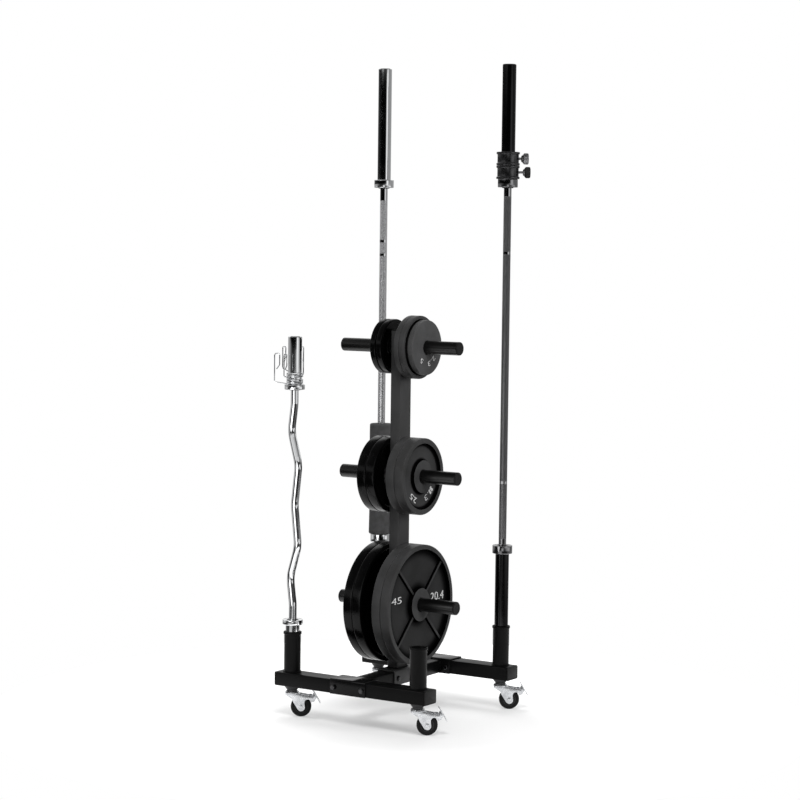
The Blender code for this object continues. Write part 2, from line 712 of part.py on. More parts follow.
def knob_mesh():
    """A knob on its screw, whose end stops short of the sleeve."""
    tip = SLEEVE_DIAMETER / 2 + 2 * CLAMP_PLAY
    head = CLAMP_DIAMETER / 2 + KNOB_STANDOFF
    screw, grip, end = KNOB_SCREW / 2, KNOB_DIAMETER / 2, head + KNOB_LENGTH
    shoulder = head + KNOB_SHOULDER
    profile = (
        (0.0, tip), (screw, tip), (screw, head), (KNOB_NECK / 2, head),
        (grip, shoulder), (grip, end), (0.0, end),
    )
    return turned_mesh("knob", profile, 16, "X")


def build_clamps(carrier):
    """Two screw collars on the upper sleeve, the lower one's knob turned out."""
    clamp, knob = clamp_mesh(), knob_mesh()
    seat = BAR_LENGTH - SLEEVE_LENGTH + TOUCH
    turn = Matrix.Rotation(KNOB_YAW, 4, "Z")
    for name, turned_out in (("lower", KNOB_LOOSE), ("upper", 0.0)):
        foot = Matrix.Translation((0.0, 0.0, seat)) @ turn
        place(name + "_clamp", clamp, black_oxide(), foot, carrier)
        knob_at = foot @ Matrix.Translation((turned_out, 0.0, CLAMP_HEIGHT / 2))
        place(name + "_clamp_knob", knob, black_oxide(), knob_at, carrier)
        seat += CLAMP_HEIGHT + CLAMP_GAP


def handle_mesh(start, rise):
    """A wire that runs out from the coil, up, over, and back down to its tail."""
    fold = HANDLE_REACH - HANDLE_WIDTH
    bend = HANDLE_WIDTH / 2
    end = HANDLE_TOP - HANDLE_RETURN
    coil = SLEEVE_DIAMETER / 2 + COIL_PLAY + COIL_WIRE / 2
    path = (
        (coil, start), (coil + COIL_WIRE, start), (HANDLE_REACH, start + rise),
        (HANDLE_REACH, HANDLE_TOP - bend), (HANDLE_REACH - bend, HANDLE_TOP), (fold, HANDLE_TOP - bend),
        (fold, end), (fold + HANDLE_TAIL[0], end + HANDLE_TAIL[1]),
    )
    return rod_mesh("handle", [(x, 0.0, z) for x, z in path], COIL_WIRE / 2, 6)


def spring_collar_mesh():
    """Close-wound coil as one ring, whose two wire ends are its handles."""
    bore = (SLEEVE_DIAMETER / 2 + COIL_PLAY) / math.cos(math.pi / 20)
    outer = SLEEVE_DIAMETER / 2 + COIL_PLAY + COIL_WIRE
    height = COIL_WIRE * COIL_TURNS
    coil = ((bore, 0.0), (outer, 0.0), (outer, height), (bore, height))
    first = handle_mesh(COIL_WIRE / 2, HANDLE_RISE)
    last = handle_mesh(height - COIL_WIRE / 2, 2 * HANDLE_RISE)
    last.transform(Matrix.Rotation(HANDLE_SPREAD, 4, "Z"))
    return combined("spring_collar", turned_mesh("coil", coil, 20), [("UNION", first), ("UNION", last)])


def build_spring_collars(carrier):
    """Two spring clips, one on the other above the upper flange."""
    mesh = spring_collar_mesh()
    seat = CURL_BAR_LENGTH - CURL_SLEEVE_LENGTH + TOUCH
    for name, yaw in HANDLE_YAW.items():
        spot = Matrix.Translation((0.0, 0.0, seat)) @ Matrix.Rotation(yaw, 4, "Z")
        place(name + "_spring_collar", mesh, chrome(), spot, carrier)
        seat += COIL_WIRE * COIL_TURNS + TOUCH


def build_bars():
    sleeve = sleeve_mesh("sleeve", SLEEVE_LENGTH, FLANGE_THICKNESS)
    build_clamps(build_straight_bar("black_bar", "rear_right", sleeve.copy(), black_oxide()))
    build_pad(build_straight_bar("chrome_bar", "rear_left", sleeve, chrome()))
    build_spring_collars(build_curl_bar())


start_clean()
build_frame()
build_pegs()
build_holders()
build_casters()
build_plates()
build_bars()
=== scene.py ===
import math

import bmesh
import bpy
from mathutils import Matrix, Vector


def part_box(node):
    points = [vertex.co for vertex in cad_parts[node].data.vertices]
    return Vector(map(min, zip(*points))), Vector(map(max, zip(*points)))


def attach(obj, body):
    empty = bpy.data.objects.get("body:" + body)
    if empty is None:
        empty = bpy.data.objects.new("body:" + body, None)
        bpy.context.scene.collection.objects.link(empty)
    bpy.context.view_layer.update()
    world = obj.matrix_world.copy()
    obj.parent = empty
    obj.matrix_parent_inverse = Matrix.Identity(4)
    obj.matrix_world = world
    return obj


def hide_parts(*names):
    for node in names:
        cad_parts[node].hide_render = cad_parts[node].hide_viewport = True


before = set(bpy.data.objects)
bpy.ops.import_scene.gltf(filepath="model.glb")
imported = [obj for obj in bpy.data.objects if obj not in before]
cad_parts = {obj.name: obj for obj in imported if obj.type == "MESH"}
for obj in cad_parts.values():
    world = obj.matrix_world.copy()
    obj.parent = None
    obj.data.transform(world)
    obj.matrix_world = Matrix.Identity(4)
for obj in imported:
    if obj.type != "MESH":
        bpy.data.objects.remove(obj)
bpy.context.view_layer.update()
scene = bpy.context.scene
scene.view_settings.view_transform = "Standard"


# The view: one long lens stands eight metres off at head height, so that the pegs
# run to the right and the middle beam runs away from the eye.
EYE = Vector((4.502, -6.920, 1.7135))
EYE_TURN = 0.5771
EYE_DROP = 0.0688
EYE_ROLL = 0.012
LENS = 102.8
FILM = 36.0


def placed(name, data):
    """A new object in the scene."""
    thing = bpy.data.objects.new(name, data)
    scene.collection.objects.link(thing)
    return thing


lens = bpy.data.cameras.new("camera")
lens.sensor_width = FILM
lens.lens = LENS
camera = placed("camera", lens)
camera.matrix_world = (Matrix.Translation(EYE) @ Matrix.Rotation(EYE_TURN, 4, "Z")
                       @ Matrix.Rotation(math.pi / 2 - EYE_DROP, 4, "X") @ Matrix.Rotation(EYE_ROLL, 4, "Z"))
scene.camera = camera


# The studio: white and black cards stand in rings round the tree, one above another,
# and give the bars their upright bands of light. Each ring starts at a climb, the sine
# of its angle over the horizon, and lists its levels by the turn from the lens.
RINGS = {
    -1.0: ((-180, 0.40), (-130, 0.20), (-100, 0.04), (-60, 0.04), (-46, 0.60), (-14, 0.60), (-4, 0.03),
           (50, 0.03), (70, 0.20), (100, 0.30), (140, 0.40), (180, 0.50)),
    -0.160: ((-180, 0.50), (-120, 0.45), (-112, 0.60), (-92, 0.60), (-80, 0.08), (-46, 0.03), (-16, 0.06),
             (-6, 0.90), (4, 0.90), (14, 0.10), (32, 0.15), (50, 0.60), (70, 0.90), (84, 0.90), (100, 0.25),
             (130, 0.30), (180, 0.50)),
    -0.045: ((-180, 0.40), (-125, 0.40), (-108, 0.40), (-85, 0.25), (-62, 0.08), (-45, 0.02), (-12, 0.03),
             (8, 0.12), (22, 0.40), (34, 0.90), (54, 0.95), (66, 0.50), (84, 0.32), (110, 0.28), (140, 0.40),
             (180, 0.40)),
    0.014: ((-180, 0.45), (-150, 0.10), (-110, 0.02), (-80, 0.008), (-47, 0.001), (12, 0.001), (24, 0.02),
            (32, 0.60), (40, 1.00), (54, 1.00), (66, 0.32), (110, 0.30), (140, 0.38), (180, 0.45)),
    0.150: ((-180, 0.30), (-125, 0.30), (-100, 0.90), (-45, 0.90), (-25, 0.08), (20, 0.04), (85, 0.10),
            (110, 0.40), (140, 0.40), (180, 0.30)),
    0.340: ((-180, 0.10), (-62, 0.10), (-46, 0.70), (46, 0.70), (62, 0.10), (180, 0.10)),
}
RING_EDGE = 0.004
BACKDROP = 1.00
BACKDROP_SIDES = (-0.55, 0.35)
BACKDROP_FOOT = (0.13, 0.17)
CEILING = 0.10
CEILING_FADE = (0.60, 0.72)
ROOM_BELOW, ROOM_ABOVE = 0.192, 0.416


class Wire:
    """A socket of a node tree that can be added to, multiplied and passed on."""

    def __init__(self, tree, socket=None):
        self.tree = tree
        self.socket = socket

    def node(self, kind, sockets=None, **settings):
        """Adds a node, with values or wires for its sockets and its settings by name.

        A kind that doesn't say Node is one of the tree's own, such as a shader's.
        """
        made = self.tree.nodes.new(kind if "Node" in kind else self.tree.bl_idname.replace("Tree", kind))
        stops = settings.pop("stops", ())
        for name, value in settings.items():
            setattr(made, name, value)
        if stops:
            ramp = made.color_ramp.elements
            while len(ramp) < len(stops):
                ramp.new(0.5)
            for stop, (place, level) in zip(ramp, stops):
                stop.position = place
                stop.color = grey(level)
        for name, value in (sockets or {}).items():
            for one in value if isinstance(value, list) else [value]:
                if isinstance(one, Wire):
                    self.tree.links.new(one.socket, made.inputs[name])
                else:
                    made.inputs[name].default_value = one
        return Wire(self.tree, made.outputs[0] if len(made.outputs) else None)

    def out(self, name):
        """Another output of the same node."""
        return Wire(self.tree, self.socket.node.outputs[name])

    def maths(self, operation, *values):
        return self.node("ShaderNodeMath", dict(enumerate(values)), operation=operation)

    def __add__(self, other):
        return self.maths("ADD", self, other)

    def __sub__(self, other):
        return self.maths("SUBTRACT", self, other)

    def __rsub__(self, other):
        return self.maths("SUBTRACT", other, self)

    def __mul__(self, other):
        return self.maths("MULTIPLY", self, other)

    __radd__, __rmul__ = __add__, __mul__

    def between(self, low, high):
        """Rises smoothly from 0 at low to 1 at high."""
        return self.node("MapRange", {"Value": self, "From Min": low, "From Max": high},
                         interpolation_type="SMOOTHSTEP")

    def blend(self, first, second):
        """Mixes two colours, this wire being the share of the second."""
        return self.node("Mix", {0: self, 6: first, 7: second}, data_type="RGBA").out(2)

    def turned_to(self, **place):
        """The three parts of this vector after a shift or a turn."""
        parts = self.node("SeparateXYZ", {0: self.node("Mapping", {"Vector": self, **place})})
        return [parts.out(axis) for axis in "XYZ"]


def grey(level, blue=1.0):
    return (level, level, level * blue, 1.0)


def room_shader(world):
    """The cards for the metal, a soft grey for the rest and white for the lens."""
    world.use_nodes = True
    world.node_tree.nodes.clear()
    room = Wire(world.node_tree)
    ray = room.node("LightPath")
    sight = room.node("TexCoord").out("Generated")
    towards, aside, climb = sight.turned_to(Rotation=(0.0, 0.0, math.pi / 2 - EYE_TURN))
    bearing = room.maths("ARCTAN2", aside, towards) * (0.5 / math.pi) + 0.5
    cards = None
    for foot, ring in RINGS.items():
        stops = [((turn + 180) / 360, level) for turn, level in ring]
        shown = room.node("ValToRGB", {"Fac": bearing}, stops=stops)
        cards = climb.between(foot - RING_EDGE, foot + RING_EDGE).blend(cards, shown) if cards else shown
    behind = (1 - towards.between(*BACKDROP_SIDES)) * climb.between(*BACKDROP_FOOT)
    cards = behind.blend(cards, grey(BACKDROP))
    cards = climb.between(*CEILING_FADE).blend(cards, grey(CEILING))
    plain = climb.between(-1.0, 1.0).blend(grey(ROOM_BELOW), grey(ROOM_ABOVE))
    glossy, soft, white = [room.node("Background", {"Color": color}) for color in (cards, plain, grey(1.0))]
    lit = room.node("MixShader", {0: ray.out("Is Glossy Ray"), 1: soft, 2: glossy})
    seen = room.node("MixShader", {0: ray.out("Is Camera Ray"), 1: lit, 2: white})
    room.node("OutputWorld", {"Surface": seen})


scene.world = bpy.data.worlds.new("studio")
room_shader(scene.world)

# Round lamps face the tree. Metal mirrors the low one alone, which lights no matt surface
LAMPS = {
    "key": ((1.65, -2.55, 4.6), 2.0, 165.0),
    "side": ((4.1, -0.7, 1.9), 2.0, 120.0),
    "fill": ((-1.9, -3.0, 1.3), 2.0, 12.0),
    "back": ((-1.3, 2.0, 4.4), 3.0, 125.0),
    "box": ((-0.15, -1.40, 0.72), 0.9, 3.6),
}
LAMP_TARGET = Vector((0.0, 0.0, 0.7))
for name, (spot, size, power) in LAMPS.items():
    light = bpy.data.lights.new(name, "AREA")
    light.shape = "DISK"
    light.size = size
    light.energy = power
    lamp = placed(name, light)
    lamp.location = spot
    lamp.rotation_euler = (LAMP_TARGET - Vector(spot)).to_track_quat("-Z", "Y").to_euler()
    lamp.visible_glossy = name == "box"
    lamp.visible_diffuse = name != "box"
    lamp.visible_camera = False

FLOOR_RADIUS = 1.5
FLOOR_SIDES = 72
FLOOR_PAPER = 0.46
FLOOR_BOUNCE = 0.30
# Glow for the lens: weak near a point beside the tree, a painted shadow on the floor, and full far off
FLOOR_GLOW_WITH_PAINTED_SHADOW = (0.33, 0.80)
FLOOR_FADE = (0.34, 0.92)
FLOOR_SHADE = (0.20, -0.10, 0.0)


def open_finish(name):
    """A new material and the wire of its object coordinates."""
    material = bpy.data.materials.new(name)
    material.use_nodes = True
    material.node_tree.nodes.clear()
    return material, Wire(material.node_tree).node("TexCoord").out("Object")


def floor_finish():
    """Matt white paper: it keeps the shadow, and its glow is weaker near the tree, a painted shadow, rising
    to the white of the room.
    """
    material, place = open_finish("paper")
    ray = place.node("LightPath")
    mirrored_ray = place.maths("MAXIMUM", ray.out("Is Glossy Ray"), ray.out("Is Transmission Ray"))
    shown = place.maths("MAXIMUM", ray.out("Is Camera Ray"), mirrored_ray)
    # The glow dips round FLOOR_SHADE: painted shadow on the floor
    apart = place.node("VectorMath", {0: place, 1: FLOOR_SHADE}, operation="DISTANCE").out("Value")
    near, far = FLOOR_GLOW_WITH_PAINTED_SHADOW
    glow = apart.between(*FLOOR_FADE) * (far - near) + near
    paper = place.node("BsdfDiffuse", {"Color": shown.blend(grey(FLOOR_BOUNCE), grey(FLOOR_PAPER))})
    light = place.node("Emission", {"Color": grey(1.0), "Strength": shown * glow})
    both = place.node("AddShader", {0: paper, 1: light})
    place.node("OutputMaterial", {"Surface": both})
    return material


def polar(radius, angle, height=0.0):
    return Vector((radius * math.cos(angle), radius * math.sin(angle), height))


def circle(radius, count, height=0.0):
    """Points round a level circle about Z."""
    return [polar(radius, 2 * math.pi * k / count, height) for k in range(count)]


floor_mesh = bpy.data.meshes.new("floor")
floor_mesh.from_pydata(circle(FLOOR_RADIUS, FLOOR_SIDES), [], [list(range(FLOOR_SIDES))])
floor_mesh.materials.append(floor_finish())
floor = placed("floor", floor_mesh)


# The two long beams: rectangular steel tube with round corners, powder coated black,
# with a moulded plug pressed flush into each end.
GAP = 0.0003
BEAM_CORNER = 0.0055
CUT_EASE = 0.0006
PLUG_LENGTH = 0.004
PLUG_SEAM = 0.0006
PLUG_EASE = 0.0018
CORE_INSET = 0.002
SHARP = math.radians(32.0)


def noise(place, scale, detail=2.0):
    return place.node("TexNoise", {"Vector": place, "Scale": scale, "Detail": detail})


def skin_of(share, dark, light, roughness, height, depth, **constants):
    """A Principled shader: two colours mixed by a share, over a bumpy surface."""
    bump = share.node("Bump", {"Height": height, "Distance": depth, "Strength": 1.0})
    sockets = {name.replace("_", " "): value for name, value in constants.items()}
    return share.node("BsdfPrincipled", {
        "Base Color": share.blend(dark, light), "Roughness": roughness, "Normal": bump, **sockets})


def close_finish(material, *skin, **constants):
    """Ends a material with its skin."""
    shader = skin_of(*skin, **constants)
    shader.node("OutputMaterial", {"Surface": shader})
    return material


def powder_coat(name, level, roughness, sheen):
    """Baked powder: an even black with a fine orange peel and faint clouds."""
    material, place = open_finish(name)
    clouds = noise(place, 7.0, 3.0)
    return close_finish(
        material, clouds.between(0.25, 0.75), grey(level * 0.82), grey(level * 1.2, 1.02),
        roughness - 0.05 + clouds * 0.10, noise(place, 620.0, 1.0), 0.00006, Specular_IOR_Level=sheen)


def moulded_plastic(name, level):
    """Injection moulded plastic with a fine grain."""
    material, place = open_finish(name)
    grain = noise(place, 1400.0)
    return close_finish(
        material, noise(place, 40.0), grey(level * 0.9), grey(level * 1.1), 0.48 + grain * 0.08,
        grain, 0.00004, Specular_IOR_Level=0.15)


# The beams' coat is a darker copy of the upright's powder coat: painted shade, on their welds too
SHADED_BEAM_BLACK = powder_coat("shaded_beam_powder_coat", 0.0025, 0.34, 0.09)
PLUG_BLACK = moulded_plastic("plug_plastic", 0.008)


def softened(corners, closed=True, steps=4):
    """An outline of (x, y, radius) corners with each corner drawn as an arc."""
    points = []
    last = len(corners) - 1
    for k, corner in enumerate(corners):
        here = Vector(corner[:2])
        if len(corner) < 3 or (not closed and k in (0, last)):
            points.append(here)
            continue
        back = Vector(corners[k - 1][:2]) - here
        on = Vector(corners[(k + 1) % len(corners)][:2]) - here
        reach = corner[2] / math.tan(max(back.angle(on), 0.05) / 2)
        start = here + back.normalized() * min(reach, 0.49 * back.length)
        end = here + on.normalized() * min(reach, 0.49 * on.length)
        for s in range(steps + 1):
            t = s / steps
            points.append(start * (1 - t) ** 2 + here * 2 * t * (1 - t) + end * t * t)
    return points


def oblong(x, y, radius):
    """The outline of a rectangle about its middle, with round corners."""
    return softened(((-x, -y, radius), (x, -y, radius), (x, y, radius), (-x, y, radius)))


def skinned(shape, rings, wrap=False):
    """Skins rings of points into a wall; unless it wraps, its ends are closed."""
    loops = [[shape.verts.new(point) for point in ring] for ring in rings]
    for near, far in zip(loops, loops[1:] + (loops[:1] if wrap else [])):
        for k in range(len(near)):
            n = (k + 1) % len(near)
            shape.faces.new((near[k], near[n], far[n], far[k]))
    if not wrap:
        shape.faces.new(loops[0])
        shape.faces.new(loops[-1])


def stock(shape, low, high, corner, ease, axis, matrix=Matrix()):
    """A length of square section along an axis, with round corners and eased ends."""
    low, high = Vector(low), Vector(high)
    a, b, c = {"X": (1, 2, 0), "Y": (2, 0, 1), "Z": (0, 1, 2)}[axis]
    middle, half = (low + high) / 2, (high - low) / 2
    eased = ((ease, 0.0), (ease * 0.3, ease * 0.3), (0.0, ease))
    stations = [(shrink, low[c] + inset) for shrink, inset in eased]
    stations += [(shrink, high[c] - inset) for shrink, inset in reversed(eased)]
    rings = []
    for shrink, along in stations:
        ring = []
        for u, v in oblong(half[a] - shrink, half[b] - shrink, max(corner - shrink, 0.0004)):
            point = Vector((0.0, 0.0, 0.0))
            point[a], point[b], point[c] = middle[a] + u, middle[b] + v, along
            ring.append(matrix @ point)
        rings.append(ring)
    skinned(shape, rings)


def finished(thing, body, nodes=()):
    """Smooths a piece and lets it ride a body and stand for nodes."""
    thing.data.shade_smooth()
    thing.data.set_sharp_from_angle(angle=SHARP)
    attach(thing, body)
    if nodes:
        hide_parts(*nodes)
    return thing


def piece(name, shape, material, body, nodes=()):
    """Closes a shape and makes it one piece of the tree."""
    bmesh.ops.remove_doubles(shape, verts=shape.verts, dist=1e-6)
    bmesh.ops.recalc_face_normals(shape, faces=shape.faces)
    mesh = bpy.data.meshes.new(name)
    shape.to_mesh(mesh)
    shape.free()
    mesh.materials.append(material)
    return finished(placed(name, mesh), body, nodes)


for beam in ("front_beam", "rear_beam"):
    low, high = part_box(beam)
    back = Vector((PLUG_LENGTH + PLUG_SEAM, 0.0, 0.0))
    skin = Vector((0.0, GAP, GAP))
    inset = Vector((CORE_INSET, CORE_INSET, CORE_INSET))
    tube = bmesh.new()
    stock(tube, low + back, high - back, BEAM_CORNER, CUT_EASE, "X")
    piece(beam + "_tube", tube, SHADED_BEAM_BLACK, "frame", [beam])

    # A core inside the tube joins the two plugs and shows in their seams
    plugs = bmesh.new()
    for start in (low.x, high.x - PLUG_LENGTH):
        foot, head = Vector((start, low.y, low.z)), Vector((start + PLUG_LENGTH, high.y, high.z))
        stock(plugs, foot + skin, head - skin, BEAM_CORNER, PLUG_EASE, "X")
    stock(plugs, low + inset, high - inset, BEAM_CORNER, 0.0005, "X")
    piece(beam + "_plugs", plugs, PLUG_BLACK, "frame")


# The middle beam: square-cut tube between two bent steel saddles that hug the long
# beams, welded where they meet. The upright stands on a saddle of its own, welded at
# the foot, and a plastic cap closes its top.
SADDLE_THICKNESS = 0.005
SADDLE_LENGTH = 0.150
SADDLE_BEND = 0.0065
CHEEK = GAP + SADDLE_THICKNESS
MIDDLE_HALF = 0.0325
POST_X, POST_Y = 0.0225, 0.035
POST_SINK = 0.001
CAP_THICKNESS = 0.0035
CAP_SEAM = 0.0005
CAP_SPIGOT = 0.02
CAP_WALL = 0.004

UPRIGHT_BLACK = powder_coat("upright_powder_coat", 0.033, 0.42, 0.20)
# The saddles' coat is a darker copy of the upright's powder coat: painted shade
SHADED_SADDLE_BLACK = powder_coat("shaded_saddle_powder_coat", 0.0035, 0.10, 0.12)


def shift(x, y, z):
    return Matrix.Translation((x, y, z))


def turn(degrees, axis):
    return Matrix.Rotation(math.radians(degrees), 4, axis)


def extruded(shape, outline, thickness, ease, matrix=Matrix()):
    """Adds a plate of a flat outline, to both sides of its plane, with eased rims."""
    part = bmesh.new()
    base = part.faces.new([part.verts.new((x, y, -thickness / 2)) for x, y in outline])
    raised = bmesh.ops.extrude_face_region(part, geom=[base])["geom"]
    top = [v for v in raised if isinstance(v, bmesh.types.BMVert)]
    bmesh.ops.translate(part, verts=top, vec=(0.0, 0.0, thickness))
    rims = [e for e in part.edges if abs(e.verts[0].co.z - e.verts[1].co.z) < 1e-7]
    bmesh.ops.bevel(part, geom=rims, offset=ease, segments=2, profile=0.5, affect="EDGES",
                    clamp_overlap=True)
    part.transform(matrix)
    copy = bpy.data.meshes.new("part")
    part.to_mesh(copy)
    part.free()
    shape.from_mesh(copy)
    bpy.data.meshes.remove(copy)


def saddle(shape, half, low, high, matrix=Matrix()):
    """A bent saddle over a beam of a half width, from one height up to another."""
    inside, outside = half + GAP, half + CHEEK
    outline = softened((
        (-outside, low, 0.001), (-outside, high + CHEEK, SADDLE_BEND), (outside, high + CHEEK, SADDLE_BEND),
        (outside, low, 0.001), (inside, low, 0.001), (inside, high + GAP, 0.0015),
        (-inside, high + GAP, 0.0015), (-inside, low, 0.001),
    ))
    extruded(shape, outline, SADDLE_LENGTH, 0.0010, matrix @ turn(90, "X"))


front_low, front_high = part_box("front_beam")
rear_low, rear_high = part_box("rear_beam")
inner = front_high.y + CHEEK
saddles = bmesh.new()
for low, high in ((front_low, front_high), (rear_low, rear_high)):
    spot = shift(0.0, (low.y + high.y) / 2, 0.0) @ turn(90, "Z")
    saddle(saddles, (high.y - low.y) / 2, low.z, high.z, spot)
piece("middle_beam_saddles", saddles, SHADED_SADDLE_BLACK, "frame", ["middle_beam"])
middle = bmesh.new()
stock(middle, (-MIDDLE_HALF, inner, front_low.z), (MIDDLE_HALF, -inner, front_high.z), BEAM_CORNER, GAP, "Y")
piece("middle_beam_tube", middle, SHADED_BEAM_BLACK, "frame", ["middle_beam"])

post_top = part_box("upright")[1].z
cap_foot = post_top - CAP_THICKNESS
foot_top = front_high.z + CHEEK
post = bmesh.new()
stock(post, (-POST_X, -POST_Y, foot_top - POST_SINK), (POST_X, POST_Y, cap_foot), BEAM_CORNER, 0.0004, "Z")
saddle(post, MIDDLE_HALF, front_low.z, front_high.z)
piece("upright_post", post, UPRIGHT_BLACK, "frame", ["upright"])
cap = bmesh.new()
stock(cap, (-POST_X, -POST_Y, cap_foot + CAP_SEAM), (POST_X, POST_Y, post_top), BEAM_CORNER, PLUG_EASE, "Z")
x, y = POST_X - CAP_WALL, POST_Y - CAP_WALL
stock(cap, (-x, -y, post_top - CAP_SPIGOT), (x, y, post_top - 0.001), 0.002, 0.0004, "Z")
piece("upright_cap", cap, PLUG_BLACK, "frame")


# Bolts: hexagon heads on the outer cheeks of the saddles, with washers, and lock nuts
# on the inner ones. All are black oxide steel and come off one tree of nodes.
BOLT_HEIGHT = 0.1375
BOLT_FROM_CENTRE = 0.061
FOOT_BOLT = 0.052
HEAD_SIZES = {"Across flats": 0.0165, "Height": 0.0062, "Washer": 0.0210, "Washer thickness": 0.0018,
              "Thread": 0.0004}
NUT_SIZES = {**HEAD_SIZES, "Height": 0.0080, "Thread": 0.0035}
CROWN_SHARE = 0.22
CROWN_TAPER = 0.84


def grower(name, sizes):
    """Opens a Geometry Nodes tree that takes a guide, named sizes and a material."""
    tree = bpy.data.node_groups.new(name, "GeometryNodeTree")
    tree.interface.new_socket("Geometry", in_out="INPUT", socket_type="NodeSocketGeometry")
    for size, value in sizes.items():
        kind = "NodeSocketInt" if isinstance(value, int) else "NodeSocketFloat"
        tree.interface.new_socket(size, in_out="INPUT", socket_type=kind).default_value = value
    tree.interface.new_socket("Material", in_out="INPUT", socket_type="NodeSocketMaterial")
    tree.interface.new_socket("Geometry", in_out="OUTPUT", socket_type="NodeSocketGeometry")
    return Wire(tree).node("NodeGroupInput")


def full_grown(given, made):
    """Closes a tree: copies become real faces and take the material."""
    real = given.node("RealizeInstances", {0: made})
    painted = given.node("SetMaterial", {"Geometry": real, "Material": given.out("Material")})
    given.node("NodeGroupOutput", {0: painted})
    return given.tree


def repeated(given, points, copy, facing):
    """Closes a tree that sets a copy on each point, with its Z along a vector."""
    rotation = given.node("FunctionNodeAlignRotationToVector", {"Vector": facing}, axis="Z")
    return full_grown(given, given.node("InstanceOnPoints", {
        "Points": points, "Instance": copy, "Rotation": rotation}))


def evaluated(thing):
    """The mesh that an object comes to."""
    bpy.context.view_layer.update()
    return bpy.data.meshes.new_from_object(thing.evaluated_get(bpy.context.evaluated_depsgraph_get()))


def grown(name, guide_mesh, tree, sizes, material, body, nodes=()):
    """Runs a tree on a guide mesh and keeps the result as one plain piece."""
    thing = placed(name, guide_mesh)
    modifier = thing.modifiers.new("tree", "NODES")
    modifier.node_group = tree
    wanted = {**sizes, "Material": material}
    for item in tree.interface.items_tree:
        if item.in_out == "INPUT" and item.name in wanted:
            modifier[item.identifier] = wanted[item.name]
    thing.data = evaluated(thing)
    thing.data.name = name
    thing.modifiers.remove(modifier)
    return finished(thing, body, nodes)


def bolt_tree():
    """A hexagon with its crown, washer and thread on each guide point."""
    given = grower("hexagon_bolts", HEAD_SIZES)
    corner = given.out("Across flats") * (1 / math.sqrt(3.0))
    thick, height = given.out("Washer thickness"), given.out("Height")
    straight = height * (1 - CROWN_SHARE)
    parts = []
    for kind, facets, foot, depth, radii in (
            ("Cone", 6, thick, straight, {"Radius Top": corner, "Radius Bottom": corner}),
            ("Cone", 6, thick + straight, height * CROWN_SHARE,
             {"Radius Top": corner * CROWN_TAPER, "Radius Bottom": corner}),
            ("Cylinder", 28, thick * 0.5, thick, {"Radius": given.out("Washer") * 0.5}),
            ("Cylinder", 16, thick + height, given.out("Thread") * 2.0, {"Radius": corner * 0.5})):
        made = given.node("Mesh" + kind, {"Vertices": facets, "Depth": depth, **radii})
        offset = given.node("ShaderNodeCombineXYZ", {"Z": foot})
        parts.append(given.node("Transform", {"Geometry": made, "Translation": offset}))
    bolt = given.node("JoinGeometry", {0: parts})
    facing = given.node("InputNamedAttribute", {"Name": "facing"}, data_type="FLOAT_VECTOR")
    return repeated(given, given.out("Geometry"), bolt, facing)


def marks(name, places):
    """Guide points, each with the way that its copy faces."""
    mesh = bpy.data.meshes.new(name)
    mesh.from_pydata([spot for spot, facing in places], [], [])
    facings = mesh.attributes.new("facing", "FLOAT_VECTOR", "POINT")
    facings.data.foreach_set("vector", [value for spot, facing in places for value in facing])
    return mesh


def black_steel(name, level, roughness):
    """Blackened steel: a dark mirror with a faint oily haze."""
    material, place = open_finish(name)
    haze = noise(place, 30.0, 3.0)
    return close_finish(
        material, haze, grey(level * 0.85), grey(level * 1.15, 1.04), roughness + haze * 0.08,
        noise(place, 900.0, 1.0), 0.00001, Metallic=1.0)


BOLT_BLACK = black_steel("bolt_steel", 0.06, 0.22)
heads, nuts = [], []
for x in (-BOLT_FROM_CENTRE, BOLT_FROM_CENTRE):
    for side, outer in ((-1, front_low.y - CHEEK), (1, rear_high.y + CHEEK)):
        heads.append(((x, outer, BOLT_HEIGHT), (0.0, side, 0.0)))
        nuts.append(((x, -side * inner, BOLT_HEIGHT), (0.0, -side, 0.0)))
for y in (-FOOT_BOLT, FOOT_BOLT):
    heads.append(((MIDDLE_HALF + CHEEK, y, BOLT_HEIGHT), (1.0, 0.0, 0.0)))
    nuts.append(((-MIDDLE_HALF - CHEEK, y, BOLT_HEIGHT), (-1.0, 0.0, 0.0)))
bolts = bolt_tree()
grown("saddle_bolts", marks("heads", heads), bolts, HEAD_SIZES, BOLT_BLACK, "frame")
grown("saddle_nuts", marks("nuts", nuts), bolts, NUT_SIZES, BOLT_BLACK, "frame")


# Pegs: round tube through the upright, welded at both faces, coated with the frame,
# with a moulded cap pressed into each end.
PEG_RADIUS = 0.02415
PEG_CAP = 0.0060
PEG_SEAM = 0.0004
LEVELS = ("bottom", "middle", "top")
FINE = 64
TO_X = turn(90, "Y")

# The pegs' coat is a darker copy of the upright's powder coat: painted shade
SHADED_PEG_BLACK = powder_coat("shaded_peg_powder_coat", 0.0010, 0.32, 0.42)


def lathed(shape, corners, matrix, facets=FINE, steps=4):
    """Turns a half section of (radius, height) corners about Z and puts it in place.

    A section that starts on the axis gives a solid, any other closes into a ring.
    """
    hollow = corners[0][0] > 0.0
    outline = softened(corners, hollow, steps)
    skinned(shape, [[matrix @ point for point in circle(r, facets, h)] for r, h in outline], hollow)


def turned(name, corners, matrix, material, body, nodes=(), facets=FINE):
    """One turned piece."""
    shape = bmesh.new()
    lathed(shape, corners, matrix, facets)
    piece(name, shape, material, body, nodes)


def mirrored(half):
    """A section that is alike on both sides of its middle, from one side's corners."""
    return [(r, -h, *ease) for r, h, *ease in half] + list(reversed(half))


def rod(radius, half, ease):
    return mirrored([(0.0, half), (radius, half, ease)])


def centre_of(node):
    low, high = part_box(node)
    return (low + high) / 2


